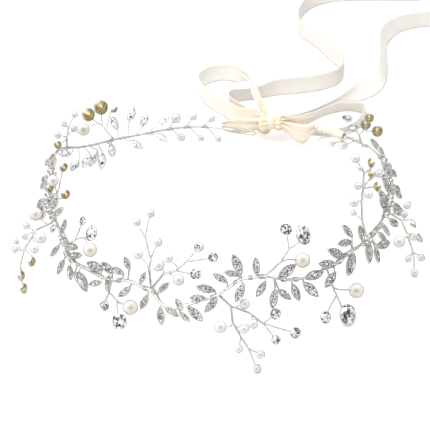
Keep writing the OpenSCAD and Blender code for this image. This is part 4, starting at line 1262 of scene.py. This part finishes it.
# rows: lower edge x, y, z, then where it leans or is gathered: lean x, y of the upper edge, share that shows
def makeRibbon(name, rows):
    width = ribbonLook["width"]
    full = []
    for row in rows:
        x, y, z, leanX, leanY, share = (*row, *(0, 0, 1)[len(row) - 3:])
        shown = width * share
        rise = math.sqrt(max(shown * shown - leanX ** 2 - leanY ** 2, ribbonLook["least"]))
        full.append((x, y, z, leanX, leanY, rise, share))
    fine = smoothRows(full, ribbonLook["steps"])
    edge = [Vector(row[:3]) for row in fine]
    span = [Vector(row[3:6]) for row in fine]
    across = ribbonLook["across"]
    lowest = ribbonLook["thick"] / 2 + ribbonLook["floorGap"]
    points, lays, warmth = [], [], []
    walked = 0.0
    for i in range(len(fine)):
        out = headingAt(edge, i).cross(span[i]).normalized()
        if i:
            walked += (edge[i] + span[i] / 2 - edge[i - 1] - span[i - 1] / 2).length
        fold = ribbonLook["pleat"] * max(0.0, 1 - fine[i][6]) * 2
        for k in range(across):
            t = k / (across - 1)
            bow = ribbonLook["cup"] * math.sin(math.pi * t) * math.sin(walked / ribbonLook["cupEvery"])
            pleat = fold * math.cos(2 * math.pi * 2 * t + walked / ribbonLook["pleatEvery"])
            point = edge[i] + t * span[i] + (bow + pleat) * out
            point.z = max(point.z, lowest)
            points.append(point * mm)
            lays.append((t * width * mm, walked * mm))
            # painted light near the knot, fading out with distance
            far = (point - Vector(ribbonLook["knot"])).length
            warmth.append(max(0.0, 1 - far / ribbonLook["warmReach"]))
    ribbon = keep(makeCloth(points, across, lays, warmth, False), name + "_cloth", "satin", name)
    print(name, "length", round(walked), "mm")


for part, rows in ribbonRows.items():
    makeRibbon(
        "ribbon_" + part, rows)


# a closed sleeve of cloth from rings of points
def makeSleeve(rings, across, warm):
    sides = len(rings[0])
    points = [point for ringPoints in rings for point in ringPoints]
    lays = [
        (across * mm * i / len(rings), ribbonLook["sleeveAround"] * mm * k / sides)
        for i in range(len(rings)) for k in range(sides)]
    return makeCloth(points, sides, lays, [warm] * len(points), True)


# the knot: gathered folds on both sides of a narrow band that is drawn tight
knotLook = {
    "middle": (30.4, 90.2, 17), "flat": 0.82, "sides": 72, "pleats": 9, "pleatDeep": 0.13,
    "bandPleats": 5, "bandDeep": 0.025, "bandWide": 4, "droop": 0.02, "lean": 0.25, "second": 0.4,
    # how much painted light near the knot the folds and the band get
    "foldsWarm": 1.0, "bandWarm": 0.9,
    "folds": [(-7.4, 2.2), (-6.6, 3.2), (-5, 4.5), (-3.4, 4.3), (-2, 3.3), (-0.8, 2.9), (0.8, 2.9), (2, 3.3),
              (3.4, 4.3), (5, 4.4), (6.6, 3.2), (7.4, 2.2)],  # along the bow, radius
    "band": [(-2.1, 3.5), (-1.9, 3.9), (-1.2, 4.15), (-0.4, 4.0), (0.3, 4.2), (1.2, 4.1), (1.9, 3.9),
             (2.1, 3.5)],
}


def knotRings(profile, pleats, deep):
    middle = Vector(knotLook["middle"])
    rings = []
    for along, radius in smoothRows(profile, 4):
        ringPoints = []
        for turn in roundTurns(knotLook["sides"])[:-1]:
            wave = math.cos(pleats * turn + knotLook["lean"] * along)
            wave += knotLook["second"] * math.cos((pleats + 4) * turn + 1)
            reach = radius * (1 + deep * wave)
            ringPoints.append(mm * (middle + Vector((
                along, reach * knotLook["flat"] * math.cos(turn),
                reach * math.sin(turn) - knotLook["droop"] * along * along))))
        rings.append(ringPoints)
    return rings


def makeKnot():
    folds = makeSleeve(
        knotRings(knotLook["folds"], knotLook["pleats"], knotLook["pleatDeep"]),
        ribbonLook["width"], knotLook["foldsWarm"])
    band = makeSleeve(
        knotRings(knotLook["band"], knotLook["bandPleats"], knotLook["bandDeep"]),
        knotLook["bandWide"], knotLook["bandWarm"])
    knot = keep(joinPieces([folds, band]), "ribbon_knot_cloth", "satin", "ribbon_knot")


# the ribbon wound in narrow turns round the vine's right end
wrapLook = {
    "from": 134.4, "to": 144.9, "radius": 2.2, "rib": 0.5, "turnEvery": 2.0, "step": 0.22, "sides": 24,
    # warm: how much painted light near the knot the wrap gets
    "points": 60, "endShare": 0.55, "endLong": 1.2, "warm": 0.55,
}


def makeWrap():
    path = evenPath(
        [vinePoint(wrapLook["from"] + (wrapLook["to"] - wrapLook["from"]) * i / wrapLook["points"])
         for i in range(wrapLook["points"] + 1)], wrapLook["step"] * mm)
    rings, walked = [], 0.0
    total = sum((b - a).length for a, b in zip(path, path[1:]))
    for i, (point, side, other) in enumerate(pathFrames(path)):
        if i:
            walked += (point - path[i - 1]).length
        fromEnd = min(walked, total - walked) / mm
        closing = min(1.0, wrapLook["endShare"] + (1 - wrapLook["endShare"]) * fromEnd / wrapLook["endLong"])
        ringPoints = []
        for turn in roundTurns(wrapLook["sides"])[:-1]:
            ridge = 0.5 + 0.5 * math.cos(2 * math.pi * walked / mm / wrapLook["turnEvery"] + turn)
            radius = (wrapLook["radius"] * closing + wrapLook["rib"] * math.sqrt(ridge)) * mm
            ringPoints.append(point + radius * around(turn, side, other))
        rings.append(ringPoints)
    sleeve = makeSleeve(rings, ribbonLook["width"], wrapLook["warm"])
    wrap = keep(sleeve, "ribbon_wrap_cloth", "satin", "ribbon_wrap")


makeKnot()
makeWrap()
print("ribbon ready")

for model in models.values():
    bpy.data.objects.remove(model)
